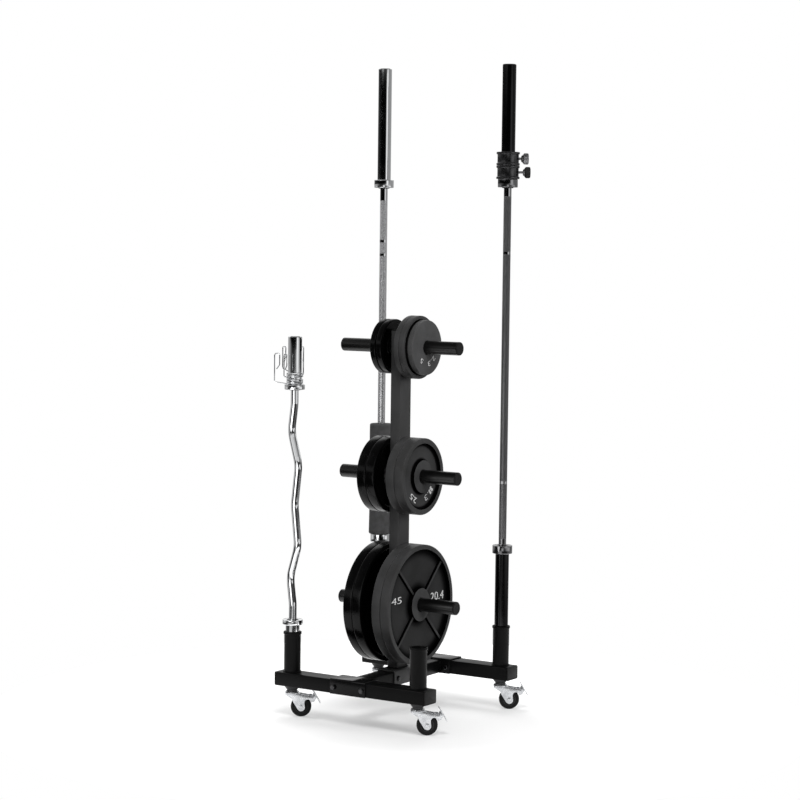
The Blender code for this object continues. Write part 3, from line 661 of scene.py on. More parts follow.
for level in LEVELS:
    low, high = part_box(level + "_peg")
    half = (high.x - low.x) / 2
    end = half - PEG_CAP
    along = shift(0.0, 0.0, centre_of(level + "_peg").z) @ TO_X
    turned(level + "_peg_tube", rod(PEG_RADIUS, end, 0.0006), along, SHADED_PEG_BLACK, "frame", [level + "_peg"])
    caps = bmesh.new()
    for way in (along @ turn(180, "X"), along):
        lathed(caps, (
            (0.0, end + PEG_SEAM), (PEG_RADIUS - 0.0002, end + PEG_SEAM, 0.0003),
            (PEG_RADIUS - 0.0002, half - 0.0022, 0.0012), (PEG_RADIUS - 0.0026, half, 0.0010),
            (PEG_RADIUS - 0.0060, half, 0.0008), (PEG_RADIUS - 0.0068, half - 0.0008, 0.0008),
            (0.0, half - 0.0008),
        ), way)
    piece(level + "_peg_caps", caps, PLUG_BLACK, "frame")


# Holders: steel tube welded upright on the beams, one over each caster, with a rolled
# lip round the mouth that takes the end of a bar.
HOLDER_RADIUS = 0.03015
HOLDER_BORE = 0.0270
LIP_RADIUS = 0.03275
LIP_HEIGHT = 0.0095
CORNERS = ("front_left", "front_right", "rear_left", "rear_right")


def upright_at(node, z=0.0):
    """A place on the upright axis of a node, at a height."""
    middle = centre_of(node)
    return shift(middle.x, middle.y, z)


# The holders' coat is a darker copy of the upright's powder coat: painted shade
SHADED_HOLDER_BLACK = powder_coat("shaded_holder_powder_coat", 0.0012, 0.40, 0.13)
for corner in CORNERS:
    low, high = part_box(corner + "_holder")
    tall = high.z - low.z
    turned(corner + "_holder_tube", (
        (HOLDER_BORE, 0.0), (HOLDER_RADIUS, 0.0), (HOLDER_RADIUS, tall - LIP_HEIGHT, 0.0008),
        (LIP_RADIUS, tall - LIP_HEIGHT + 0.0005, 0.0025), (LIP_RADIUS, tall, 0.0035),
        (HOLDER_BORE, tall, 0.0020),
    ), upright_at(corner + "_holder", low.z), SHADED_HOLDER_BLACK, "frame", [corner + "_holder"])


# Welds: a row of overlapping ripples along each joint of the frame, coated over with
# the same black powder. The beads sit just outside the corners that they fill.
BEAD = {"Bead width": 0.0052}
PEG_BEAD = {"Bead width": 0.0012, "Ripple pitch": 0.0010}
RIPPLE = 0.0016
RIPPLE_FLATNESS = 0.62
BEAD_OUT = 0.0008
HOLDER_BEAD_OUT, HOLDER_BEAD_UP = 0.0010, 0.0012
POST_BEAD_SPREAD = (1.04, 1.03)
PEG_BEAD_OUT = 0.0002


def weld_tree():
    """Flattened drops at an even pitch along each guide."""
    given = grower("weld_beads", {**BEAD, "Ripple pitch": RIPPLE})
    path = given.node("ResampleCurve", {
        "Curve": given.node("MeshToCurve", {"Mesh": given.out("Geometry")}),
        "Length": given.out("Ripple pitch")}, mode="LENGTH")
    drop = given.node("MeshUVSphere", {
        "Segments": 8, "Rings": 5, "Radius": given.out("Bead width") * 0.5})
    flat = given.node("Transform", {"Geometry": drop, "Scale": (1.0, 1.0, RIPPLE_FLATNESS)})
    return repeated(given, path, flat, given.node("InputTangent"))


def guide(name, paths):
    """Guide edges for a tree: each path is a list of points that may close."""
    verts, edges = [], []
    for points, closed in paths:
        first = len(verts)
        verts += [tuple(point) for point in points]
        edges += [(first + k, first + k + 1) for k in range(len(points) - 1)]
        if closed:
            edges.append((len(verts) - 1, first))
    mesh = bpy.data.meshes.new(name)
    mesh.from_pydata(verts, edges, [])
    return mesh


def hoop(matrix, radius):
    """A closed path round the Z of a place."""
    return [matrix @ point for point in circle(radius, 36)], True


weld = weld_tree()
joints = []
for corner in CORNERS:
    mouth = upright_at(corner + "_holder", front_high.z + HOLDER_BEAD_UP)
    joints.append(hoop(mouth, HOLDER_RADIUS + HOLDER_BEAD_OUT))
wide, deep = POST_BEAD_SPREAD
joints.append(([(wide * x, deep * y, foot_top + 0.0010) for x, y in oblong(POST_X, POST_Y, 0.005)], True))
x, foot, head = MIDDLE_HALF + BEAD_OUT, front_low.z + 0.001, front_high.z + BEAD_OUT
for y in (inner + BEAD_OUT, -inner - BEAD_OUT):
    joints.append(([(-x, y, foot), (-x, y, head), (x, y, head), (x, y, foot)], False))
grown("frame_welds", guide("welds", joints), weld, BEAD, SHADED_BEAM_BLACK, "frame")
peg_joints = []
for level in LEVELS:
    hole = shift(POST_X + PEG_BEAD_OUT, 0.0, centre_of(level + "_peg").z) @ TO_X
    peg_joints.append(hoop(hole, PEG_RADIUS + PEG_BEAD_OUT))
grown("peg_welds", guide("peg_welds", peg_joints), weld, PEG_BEAD, UPRIGHT_BLACK, "frame")


# Casters: zinc plated steel forks that swivel on a bolt up into the beam, each with a
# dust seal, a rubber tyre on a moulded wheel, a nut and bolt for axle, and a pedal
# that brakes the tyre. Sizes run from the stem's axis, backwards along the trail.
TRAIL = 0.033
CASTER_TURN = 33.0
AXLE_UP = 0.0375
AXLE_RADIUS = 0.0039
WASHER_HALF = 0.0004
NUT_HALF = 0.0014
WHEEL_HALF = 0.012
FORK_HALF = 0.014
FORK_LEG = 0.0025
FORK_SIDE = FORK_HALF + FORK_LEG
PIVOT = Vector((0.0755, 0.061))
PIVOT_BAR = PIVOT + Vector((-0.016, 0.0135))
CROWN = 0.0809
CROWN_PLATE = (-0.0240, 0.0300)
RACE_LOW, RACE_HIGH = 0.0854, 0.0939
RACE_RADIUS = 0.0255
SEAL_HEIGHT = RACE_LOW + 0.0042
LEG_NEAR_PEDAL = (
    (-0.018, 0.018, 0.003), (-0.006, 0.019, 0.004), (0.003, 0.008, 0.004), (0.004, -0.004, 0.003),
    (-0.003, -0.005, 0.003), (-0.015, 0.004, 0.006), (-0.025, 0.002, 0.006),
)
LEG_NEAR_AXLE = (
    (0.0125, 0.0175, 0.006), (0.0145, -0.0065, 0.006), (0.0095, -0.0140, 0.006), (0.0015, -0.0170, 0.006),
    (-0.0075, -0.0145, 0.006), (-0.0125, -0.0085, 0.006), (-0.0285, 0.0175, 0.008), (-0.0325, 0.0285, 0.006),
)
PEDAL_TOP = Vector((-0.0045, 0.0415))
PEDAL_TIP = Vector((0.0260, -0.0110))
PEDAL_HALF = 0.015
PEDAL_THICKNESS = 0.0022
WEB_THICKNESS = 0.0020
WEB_OUT = 0.009
WEB_ROOTS = (0.62, 0.28)
PEDAL_REST = math.radians(25.0)
CAM_GAP = 0.0005


def zinc_plate():
    """Bright zinc: a pale metal with soft spangled clouds and a satin grain."""
    material, place = open_finish("zinc_plate")
    spangle = place.node("TexVoronoi", {"Vector": place, "Scale": 260.0}, feature="F1")
    clouds = noise(place, 60.0, 3.0)
    return close_finish(
        material, clouds.between(0.3, 0.7), (0.62, 0.63, 0.65, 1.0), (0.80, 0.81, 0.83, 1.0),
        0.16 + spangle * 0.12 + clouds * 0.08, noise(place, 420.0), 0.00006, Metallic=0.92)


def rubber(name, level):
    """Moulded rubber with a dull bloom."""
    material, place = open_finish(name)
    bloom = noise(place, 90.0, 3.0)
    return close_finish(
        material, bloom, grey(level * 0.8), grey(level * 1.3), 0.58 + bloom * 0.14,
        noise(place, 1100.0), 0.00008, Specular_IOR_Level=0.2)


ZINC = zinc_plate()
TYRE = rubber("tyre_rubber", 0.006)
SEAL = rubber("seal_rubber", 0.010)
WHEEL_BLACK = moulded_plastic("wheel_plastic", 0.030)
STEM_BLACK = black_steel("stem_steel", 0.05, 0.36)


def caster_stem(top):
    """Half section of the stem's neck, cup and bolt head, up to the beam's face."""
    cup, head = RACE_HIGH + GAP, CROWN - GAP
    return (
        (0.0, head - 0.003), (0.009, head - 0.003, 0.001), (0.009, head, 0.0005), (0.0055, head),
        (0.0055, cup), (0.0190, cup, 0.001), (0.0190, cup + 0.0065, 0.0012), (0.0215, cup + 0.0065, 0.002),
        (0.0268, top - 0.0035, 0.004), (0.0280, top, 0.0008), (0.0, top),
    )


def caster_fork(under):
    """A pressed dish over the balls, a plate, two legs folded down and a cross bar."""
    fork = bmesh.new()
    lathed(fork, (
        (0.0058, CROWN), (0.0195, CROWN, 0.003), (RACE_RADIUS, RACE_LOW, 0.0025),
        (RACE_RADIUS, RACE_LOW + 0.0026, 0.001), (RACE_RADIUS - 0.0018, RACE_LOW + 0.0034, 0.0004),
        (RACE_RADIUS - 0.0018, RACE_LOW + 0.0050, 0.0004), (RACE_RADIUS - 0.0004, RACE_LOW + 0.0056, 0.001),
        (RACE_RADIUS - 0.0030, RACE_HIGH, 0.002), (0.0058, RACE_HIGH),
    ), under, 56)
    outline = softened((
        (-0.0245, RACE_LOW, 0.002), (0.0240, RACE_LOW - GAP, 0.004),
        *((PIVOT.x + x, PIVOT.y + z, r) for x, z, r in LEG_NEAR_PEDAL),
        *((TRAIL + x, AXLE_UP + z, r) for x, z, r in LEG_NEAR_AXLE),
        (-0.0245, CROWN + 0.0005, 0.002),
    ), steps=3)
    for side in (-1, 1):
        leg_at = under @ shift(0.0, side * (FORK_HALF + FORK_LEG / 2), 0.0)
        extruded(fork, outline, FORK_LEG, 0.0007, leg_at @ turn(90, "X"))
    front, back = CROWN_PLATE
    stock(fork, (front, -FORK_SIDE, CROWN), (back, FORK_SIDE, RACE_LOW), 0.0022, 0.0010, "X", under)
    bar_at = under @ shift(PIVOT_BAR.x, 0.0, PIVOT_BAR.y) @ turn(-90, "X")
    lathed(fork, rod(0.0030, FORK_SIDE - 0.0004, 0.0004), bar_at, 20)
    return fork


def caster_axle(hub_at):
    """A bolt through the hub, with a washer and a nut at each end."""
    axle = bmesh.new()
    lathed(axle, rod(AXLE_RADIUS, FORK_SIDE + 0.0034, 0.0005), hub_at, 24)
    for side in (-1, 1):
        washer = side * (FORK_SIDE + GAP + WASHER_HALF)
        nut = side * (FORK_SIDE + GAP + 2 * WASHER_HALF + NUT_HALF)
        lathed(axle, rod(0.0074, WASHER_HALF, 0.0002), hub_at @ shift(0.0, 0.0, washer), 32)
        hexagon = [corner.xy for corner in circle(0.0122 / math.sqrt(3.0), 6)]
        extruded(axle, hexagon, 2 * NUT_HALF, 0.0005, hub_at @ shift(0.0, 0.0, nut))
    return axle


def caster_pedal(under):
    """A tread bent from sheet, two cheeks down to the pin, and a cam over the tyre."""
    pin_at = under @ shift(PIVOT.x, 0.0, PIVOT.y)
    upright_plane = pin_at @ turn(90, "X")
    length = (PEDAL_TIP - PEDAL_TOP).length
    slope = (PEDAL_TIP - PEDAL_TOP).normalized()
    back = Vector((-slope.y, slope.x))
    centre = (PEDAL_TIP + PEDAL_TOP) / 2 + back * PEDAL_THICKNESS / 2
    tread = pin_at @ Matrix(((slope.x, 0.0, back.x, centre.x), (0.0, -1.0, 0.0, 0.0),
                             (slope.y, 0.0, back.y, centre.y), (0.0, 0.0, 0.0, 1.0)))
    half, wide = length / 2, PEDAL_HALF
    pedal = bmesh.new()
    extruded(pedal, softened((
        (-half, 0.003 - wide, 0.004), (0.008 - half, -wide, 0.004), (half, -wide, 0.005), (half, wide, 0.005),
        (0.008 - half, wide, 0.004), (-half, wide - 0.003, 0.004),
    )), PEDAL_THICKNESS, 0.0007, tread)
    to_hub = Vector((TRAIL, AXLE_UP)) - PIVOT
    to_wheel = math.atan2(to_hub.y, to_hub.x) + PEDAL_REST
    nose = polar(to_hub.length - AXLE_UP - CAM_GAP, to_wheel).xy
    foot, head = [PEDAL_TOP + slope * length * share for share in WEB_ROOTS]
    web = softened((
        (*nose, 0.001), (0.005, -0.005, 0.004), (*foot, 0.001), (*head, 0.001), (-0.008, 0.008, 0.004)))
    for side in (-1, 1):
        extruded(pedal, web, WEB_THICKNESS, 0.0005, upright_plane @ shift(0.0, 0.0, side * WEB_OUT))
    block = softened((
        (*nose, 0.0008), (0.001, -0.0045, 0.002), (0.0045, 0.0, 0.003), (-0.004, 0.0065, 0.002)))
    extruded(pedal, block, 2 * WEB_OUT, 0.0004, upright_plane)
    lathed(pedal, rod(0.0025, FORK_SIDE - 0.0001, 0.0004), pin_at @ turn(-90, "X"), 20)
    return pedal


for corner in CORNERS:
    caster, wheel, zinc = corner + "_caster", corner + "_wheel", "caster_zinc"
    under = upright_at(caster + "_stem") @ turn(CASTER_TURN, "Z")
    hub_at = under @ shift(TRAIL, 0.0, AXLE_UP) @ turn(-90, "X")
    seal_at = under @ shift(0.0, 0.0, SEAL_HEIGHT)
    tread = AXLE_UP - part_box(caster + "_wheel")[0].z
    turned(corner + "_stem", caster_stem(front_low.z - GAP), under, STEM_BLACK, "frame", [caster + "_stem"],
           48)
    piece(corner + "_fork", caster_fork(under), ZINC, caster, [caster + "_fork"])
    turned(corner + "_seal", mirrored([(0.015, 0.0012), (RACE_RADIUS - 0.0009, 0.0012, 0.0007)]), seal_at,
           SEAL, caster, facets=56)
    turned(corner + "_tyre", mirrored([
        (0.0240, 0.0100, 0.001), (0.0280, WHEEL_HALF - 0.0004, 0.002),
        (tread - 0.0035, WHEEL_HALF - 0.0010, 0.003), (tread, WHEEL_HALF - 0.0050, 0.004),
    ]), hub_at, TYRE, wheel, [caster + "_wheel"], 72)
    turned(wheel + "_core", mirrored([
        (0.0042, 0.0118, 0.0005), (0.0095, 0.0118, 0.001), (0.0105, 0.0070, 0.002), (0.0205, 0.0070, 0.002),
        (0.0215, 0.0108, 0.001), (0.0244, 0.0108, 0.0006),
    ]), hub_at, WHEEL_BLACK, wheel, facets=56)
    piece(corner + "_axle", caster_axle(hub_at), ZINC, caster, [caster + "_axle"])
    piece(corner + "_pedal", caster_pedal(under), ZINC, corner + "_brake", [caster + "_brake_pedal"])


# Plates: grey iron castings, bored, shot blasted and enamelled black. The front of
# each is dished between hub and rim and carries raised numerals picked out in white.
# "front" and "back" are how deep each face is dished; "open" and "shade" set the painted shade in the dish:
# how much of its floor is left unshaded and how far the shade by its walls spreads.
BORE = 0.0254
RIB_HALF = 0.0055
RIB_DROP = 0.006
RIB_SINK = 0.004
FLOOR_RINGS = (0.03, 0.06, 0.10, 0.16, 0.24, 0.36, 0.64, 0.76, 0.84, 0.90)
KINDS = {
    "45": {"rim": 0.020, "hub": 0.060, "front": 0.016, "back": 0.007, "edge": 0.0035, "draft": 0.0035,
           "open": 0.50, "shade": 0.026, "ribs": (45, 135, 225, 315)},
    "25": {"rim": 0.022, "hub": 0.059, "front": 0.012, "back": 0.009, "edge": 0.0035, "draft": 0.0028,
           "open": 0.86, "shade": 0.007},
    "10": {"rim": 0.014, "hub": 0.046, "front": 0.005, "back": 0.0, "edge": 0.0030, "draft": 0.0015,
           "open": 0.40, "shade": 0.020},
    "5": {"rim": 0.012, "hub": 0.038, "front": 0.0, "back": 0.013, "edge": 0.0030, "draft": 0.0020,
          "open": 1.00, "shade": 0.020},
}
ROWS = {
    ("bottom", "right"): ("45", "45"), ("bottom", "left"): ("45", "45"),
    ("middle", "right"): ("25", "25"), ("middle", "left"): ("25", "25"),
    ("top", "right"): ("10", "10", "5"), ("top", "left"): ("5", "5"),
}

# Straight numbers: width, height and centre. Round ones: radius, bearing, width, height
STRAIGHT_NUMBERS = {"45": (("45", 0.064, 0.024, (-0.140, 0.029)), ("20.4", 0.088, 0.029, (0.132, 0.016)))}
ROUND_NUMBERS = {
    "25": (("25", 0.0900, 238, 0.022, 0.021), ("11.3", 0.0880, 308, 0.022, 0.021)),
    "10": (("10", 0.0730, 236, 0.018, 0.017), ("4.5", 0.0730, 306, 0.018, 0.017)),
    "5": (("5", 0.0590, 232, 0.016, 0.018), ("2.3", 0.0590, 300, 0.019, 0.018)),
}
NUMERAL_RISE = 0.0014
NUMERAL_SINK = 0.4
NUMERAL_PITCH = 1.18
NUMERAL_FILL = 0.86
ONE_FILL = 0.42
POINT_SIZE = (0.2, 0.16)
POINT_DROP = 0.42

# Painted shade on a plate: faces stay unshaded, and heights within a slack of a face count as on it
FACE_SLACK = 0.0006
RIB_SLACK = 0.0004
RIB_UNSHADED = 0.8
FLOOR_UNSHADED = 0.06
PAINTED_SHADE_CORNER = 0.002


def cast_enamel(name, raised, roughness, sheen):
    """Enamel over cast iron with painted shade: a near-black matt shader is mixed in where the unshaded share
    falls, black in the dish's corners.
    """
    material, place = open_finish(name)
    rubbed = place.node("Attribute", attribute_name="rubbed").out("Fac")
    clouds = noise(place, 14.0, 4.0)
    sand = noise(place, 380.0, 3.0)
    pits = place.node("TexVoronoi", {"Vector": place, "Scale": 240.0}, feature="SMOOTH_F1")
    skin = skin_of(
        clouds.between(0.3, 0.7), grey(raised * 0.85), grey(raised * 1.15, 1.02),
        roughness - 0.04 + sand * 0.12, sand * 0.7 + pits * 0.5, 0.00022, Specular_IOR_Level=sheen)
    # Painted shade: a near-black matt shader for the dish's corners and the feet of its ribs
    corner = place.node("BsdfDiffuse", {"Color": grey(0.0006)})
    shown = place.node("MixShader", {0: rubbed, 1: corner, 2: skin})
    place.node("OutputMaterial", {"Surface": shown})
    return material


def numeral_paint():
    """White paint rolled on the raised numerals, thin in places."""
    material, place = open_finish("numeral_paint")
    thin = noise(place, 300.0, 4.0)
    return close_finish(
        material, thin.between(0.30, 0.52), grey(0.28), grey(0.56), 0.55 + thin * 0.1, thin, 0.00010)


PLATE_BLACK = cast_enamel("plate_enamel", 0.030, 0.40, 0.18)
# A lighter copy of the plate enamel for the small plates: painted light
LIT_SMALL_BLACK = cast_enamel("small_plate_enamel", 0.046, 0.40, 0.20)
# A near-black, glossier copy of the plate enamel for the left row: its darkness is painted shade
SHADED_GLOSS_BLACK = cast_enamel("gloss_plate_enamel", 0.0008, 0.15, 0.14)
NUMERAL_WHITE = numeral_paint()


def numeral(shape, text, width, height, matrix):
    """Adds a raised plain number, fitted to a width and height about its centre."""
    font = bpy.data.curves.new("numeral", "FONT")
    font.body = text
    font.extrude = 0.5
    font.offset = -0.010
    font.resolution_u = 5
    holder = placed("numeral", font)
    mesh = evaluated(holder)
    bpy.data.objects.remove(holder)
    xs, ys = [v.co.x for v in mesh.vertices], [v.co.y for v in mesh.vertices]
    fit = Matrix.Diagonal((width / (max(xs) - min(xs)), height / (max(ys) - min(ys)), NUMERAL_RISE, 1.0))
    mesh.transform(matrix @ fit @ shift(-(max(xs) + min(xs)) / 2, -(max(ys) + min(ys)) / 2, 0.5))
    shape.from_mesh(mesh)
    bpy.data.meshes.remove(mesh)


def round_number(shape, text, radius, bearing, width, height, matrix):
    """Sets a number along a circle, clockwise, with its top outwards."""
    widths = [0.5 if sign in ".1" else 1.0 for sign in text]
    run = -sum(widths) / 2
    for sign, share in zip(text, widths):
        angle = bearing - 90 - math.degrees((run + share / 2) * width * NUMERAL_PITCH / radius)
        run += share
        spot = matrix @ turn(angle, "Z") @ shift(0.0, radius, 0.0)
        if sign == ".":
            wide, tall = POINT_SIZE
            numeral(shape, ".", width * wide, height * tall, spot @ shift(0.0, -height * POINT_DROP, 0.0))
        else:
            numeral(shape, sign, width * (ONE_FILL if sign == "1" else NUMERAL_FILL), height, spot)


def unshaded_share(kind, rim, depth, radius, height):
    """How much of a point of a plate the painted shade leaves unshaded: 1 on its faces, 0 in its corners."""
    size = KINDS[kind]
    sunk = depth - height
    on_rim = radius > rim - size["rim"] + 2 * size["draft"]
    if not size["front"] or sunk < FACE_SLACK or height < size["back"] or on_rim:
        return 1.0
    # Ribs: painted shade on their sides and feet, a little on their tops
    if abs(sunk - size["front"]) > FACE_SLACK:
        return RIB_UNSHADED if abs(sunk - RIB_DROP) < RIB_SLACK else 0.0
    clear = min(radius - size["hub"], rim - size["rim"] - radius) - size["draft"]
    share = min(max((clear - PAINTED_SHADE_CORNER) / size["shade"], 0.0), 1.0)
    return FLOOR_UNSHADED + size["open"] * share * share * (3 - 2 * share)


def plate_outline(kind, rim, depth):
    """Half section of a plate, from the back of its bore to the front and round."""
    size = KINDS[kind]
    edge, draft, hub = size["edge"], size["draft"], size["hub"]
    inside = rim - size["rim"]
    corners = [(BORE, 0.0, 0.0030)]
    if size["back"]:
        corners += [(hub - draft, 0.0, 0.0025), (hub, size["back"], 0.004), (inside, size["back"], 0.004),
                    (inside + draft, 0.0, 0.0025)]
    corners += [(rim, 0.0, edge), (rim, depth, edge)]
    if size["front"]:
        floor_at = depth - size["front"]
        span = inside - hub - draft
        corners += [(inside + draft, depth, 0.0012), (inside, floor_at, 0.0040)]
        corners += [(inside - span * share, floor_at) for share in FLOOR_RINGS]
        corners += [(hub + draft, floor_at, 0.0040), (hub, depth, 0.0012)]
    return corners + [(BORE, depth, 0.0018)]


for (level, side), row in ROWS.items():
    for number, kind in enumerate(row, start=1):
        name = f"{level}_{side}_plate_{number}"
        low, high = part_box(name)
        centre, size = centre_of(name), KINDS[kind]
        depth, rim = high.x - low.x, (high.z - low.z) / 2
        facing, back_at = (1.0, low.x) if side == "right" else (-1.0, high.x)
        place = Matrix(((0.0, 0.0, facing, back_at), (facing, 0.0, 0.0, centre.y),
                        (0.0, 1.0, 0.0, centre.z), (0.0, 0.0, 0.0, 1.0)))
        floor_at = depth - size["front"]
        plate = bmesh.new()
        lathed(plate, plate_outline(kind, rim, depth), place, 96)
        for bearing in size.get("ribs", ()):
            stock(plate, (size["hub"] - RIB_SINK, -RIB_HALF, floor_at - RIB_SINK),
                  (rim - size["rim"] + RIB_SINK, RIB_HALF, depth - RIB_DROP), 0.0020, 0.001, "X",
                  place @ turn(bearing, "Z"))
        # The left row takes the painted-shade copy of the enamel and the small plates the painted-light copy
        enamel = SHADED_GLOSS_BLACK if facing < 0 else LIT_SMALL_BLACK if kind == "5" else PLATE_BLACK
        casting = piece(name + "_casting", plate, enamel, name, [name])
        # The painted shade of the dish, stored on each point
        shares = casting.data.attributes.new("rubbed", "FLOAT", "POINT")
        home = place.inverted()
        for vertex in casting.data.vertices:
            local = home @ vertex.co
            shares.data[vertex.index].value = unshaded_share(kind, rim, depth, local.xy.length, local.z)

        # On a plate without a dish the numerals start a little under the face
        face = place @ shift(0.0, 0.0, floor_at if size["front"] else floor_at - NUMERAL_RISE * NUMERAL_SINK)
        numbers = bmesh.new()
        for text, width, height, (x, y) in STRAIGHT_NUMBERS.get(kind, ()):
            numeral(numbers, text, width, height, face @ shift(x, y, 0.0))
        for round_one in ROUND_NUMBERS.get(kind, ()):
            round_number(numbers, *round_one, face)
        piece(name + "_numerals", numbers, NUMERAL_WHITE, name)


# Straight bars: a ground and knurled steel shaft with a turned sleeve on each end,
# which spins on bushes and is kept by a snap ring. One is plated, one is black.
SHAFT_RADIUS = 0.014
SLEEVE_RADIUS = 0.025
SLEEVE_LENGTH = 0.415
FLANGE_RADIUS = 0.0365
FLANGE_LENGTH = 0.030
BUSH_BORE = 0.01435
BUSH_PROUD = {"lower": -0.0002, "upper": 0.0026}
KNURL_PITCH = 0.0016
KNURL_DEPTH = 0.00014
KNURL_EDGE = 0.001
MARK_EDGE = (0.0045, 0.0055)
BLACK_KNURL = ((0.633, 1.885), (0.840, 1.680))
CHROME_KNURL = ((0.665, 1.870), (0.860, 1.667), (0.811, 1.718))


def chrome_plate(name, roughness):
    """Bright chrome with faint handling haze."""
    material, place = open_finish(name)
    haze = noise(place, 25.0, 4.0)
    return close_finish(
        material, haze, (0.78, 0.79, 0.80, 1.0), (0.86, 0.87, 0.88, 1.0),
        roughness + haze.between(0.45, 0.8) * 0.06, noise(place, 700.0, 1.0), 0.000004, Metallic=1.0)


def knurled_steel(name, node, spans, plain, cut):
    """Shaft steel: crossed knurling between two heights, broken by smooth marks."""
    material, place = open_finish(name)
    centre = centre_of(node)
    (level, gloss), (cut_level, cut_roughness) = plain, cut
    x, y, height = place.turned_to(Location=(-centre.x, -centre.y, 0.0))
    arc = place.maths("ARCTAN2", y, x) * round(SHAFT_RADIUS * 2 * math.pi / KNURL_PITCH)
    rise = height * (2 * math.pi / KNURL_PITCH)
    cuts = [place.maths("ABSOLUTE", place.maths("SINE", way * 0.5)) for way in (arc + rise, arc - rise)]
    diamonds = place.maths("MINIMUM", *cuts)
    (start, end), *rings = spans
    above = height.between(start - KNURL_EDGE, start + KNURL_EDGE)
    zone = above * (1 - height.between(end - KNURL_EDGE, end + KNURL_EDGE))
    for mark in [mark for pair in rings for mark in pair]:
        zone = zone * place.maths("ABSOLUTE", height - mark).between(*MARK_EDGE)
    return close_finish(
        material, zone, grey(level, 1.02), grey(cut_level, 1.02), gloss + zone * (cut_roughness - gloss),
        diamonds * zone, KNURL_DEPTH, Metallic=1.0)


CHROME = chrome_plate("chrome_plate", 0.05)
BAR_BLACK = black_steel("bar_black", 0.025, 0.12)
COLLAR_BLACK = black_steel("collar_black", 0.28, 0.05)
BLACK_KNURLED = knurled_steel("black_knurled", "black_bar_shaft", BLACK_KNURL, (0.45, 0.08), (0.20, 0.30))
CHROME_KNURLED = knurled_steel("chrome_knurled", "chrome_bar_shaft", CHROME_KNURL, (0.82, 0.06), (0.74, 0.20))


def bar_sleeves(bar, length, flange, material, ring_finish):
    """Both sleeves of a bar, each with its shrunk collar and the seal of its bush."""
    total = length + flange
    for end, proud in BUSH_PROUD.items():
        node = f"{bar}_{end}_sleeve"
        low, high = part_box(node)
        foot = upright_at(node, low.z) if end == "lower" else upright_at(node, high.z) @ turn(180, "X")
        turned(node + "_turned", (
            (0.0, 0.0022), (0.0095, 0.0022, 0.0004), (0.0100, 0.0008, 0.0004), (0.0155, 0.0008, 0.0004),
            (0.0165, 0.0030, 0.0004), (0.0205, 0.0030, 0.0004), (0.0212, 0.0, 0.0006),
            (SLEEVE_RADIUS - 0.0018, 0.0, 0.0006), (SLEEVE_RADIUS, 0.0022, 0.0010),
            (SLEEVE_RADIUS, length + 0.001), (0.0, length + 0.001),
        ), foot, material, node, [node])
        turned(node + "_collar", (
            (0.0145, length + 0.0005), (SLEEVE_RADIUS - 0.001, length + 0.0005),
            (SLEEVE_RADIUS, length - 0.0008, 0.0005), (SLEEVE_RADIUS + 0.0014, length, 0.0008),
            (FLANGE_RADIUS, length, 0.0025), (FLANGE_RADIUS, total, 0.0025), (0.0215, total, 0.0006),
            (0.0208, total - 0.0012, 0.0004), (0.0145, total - 0.0012),
        ), foot, ring_finish, node)
        turned(node + "_bush", (
            (BUSH_BORE, total - 0.003), (0.0205, total - 0.003), (0.0205, total + proud - 0.0003, 0.0006),
            (0.0190, total + proud, 0.0006), (BUSH_BORE, total + proud, 0.0004),
        ), foot, SEAL, node)


for bar, knurled, slot in (
        ("black_bar", BLACK_KNURLED, "black_steel"), ("chrome_bar", CHROME_KNURLED, "chrome")):
    node = bar + "_shaft"
    low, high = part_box(node)
    middle = upright_at(node, (low.z + high.z) / 2)
    turned(bar + "_rod", rod(SHAFT_RADIUS, (high.z - low.z) / 2, 0.001), middle, knurled, bar, [node])
bar_sleeves("black_bar", SLEEVE_LENGTH, FLANGE_LENGTH, BAR_BLACK, COLLAR_BLACK)
bar_sleeves("chrome_bar", SLEEVE_LENGTH, FLANGE_LENGTH, CHROME, CHROME)


# Bar pad: a thick tube of closed-cell foam, slit down its back so that it can be
# pushed over the shaft, with edges that have softened in use.
PAD_RADIUS = 0.0435
PAD_BORE = 0.0143
PAD_RINGS = 60
PAD_DENT = 0.0004
SLIT_DEPTH = 0.004
SLIT_WIDTH = 0.0016
SLIT_BEARING = math.radians(150.0)


def closed_cell_foam():
    """Skinned foam: dark grey, matt, with fine open pores."""
    material, place = open_finish("closed_cell_foam")
    pores = place.node("TexVoronoi", {"Vector": place, "Scale": 520.0}, feature="F1")
    skin = noise(place, 45.0, 4.0)
    return close_finish(
        material, skin.between(0.3, 0.7), grey(0.052), grey(0.074, 1.02), 0.80 + skin * 0.12,
        pores.between(0.0, 0.55), 0.00035)


def pad_shape():
    """Rings up the outside and down the bore, dented where hands press the foam."""
    low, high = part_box("bar_pad")
    tall = high.z - low.z
    corners = [(PAD_BORE, 0.0, 0.002), (PAD_RADIUS, 0.0, 0.007)]
    corners += [(PAD_RADIUS, tall * k / PAD_RINGS) for k in range(3, PAD_RINGS - 2)]
    corners += [(PAD_RADIUS, tall, 0.007), (PAD_BORE, tall, 0.002)]
    spot = upright_at("bar_pad", low.z)
    shape = bmesh.new()
    lathed(shape, corners, spot, 96, 5)
    for vertex in shape.verts:
        arm = vertex.co - spot.translation
        radius, bearing = math.hypot(arm.x, arm.y), math.atan2(arm.y, arm.x)
        share = (radius - PAD_BORE) / (PAD_RADIUS - PAD_BORE)
        if radius > PAD_BORE + 0.001:
            wave = math.sin(arm.z * 31.0 + 2.0 * math.sin(bearing)) + math.sin(arm.z * 17.0 - bearing * 2.0)
            apart = (bearing - SLIT_BEARING + math.pi) % (2 * math.pi) - math.pi
            slit = math.exp(-(apart * radius / SLIT_WIDTH) ** 2)
            shrunk = 1 - share * (PAD_DENT * (2.0 + wave) + SLIT_DEPTH * slit) / radius
            vertex.co.xy = spot.translation.xy + arm.xy * shrunk
    return shape


pad = piece("foam_pad", pad_shape(), closed_cell_foam(), "bar_pad", ["bar_pad"])


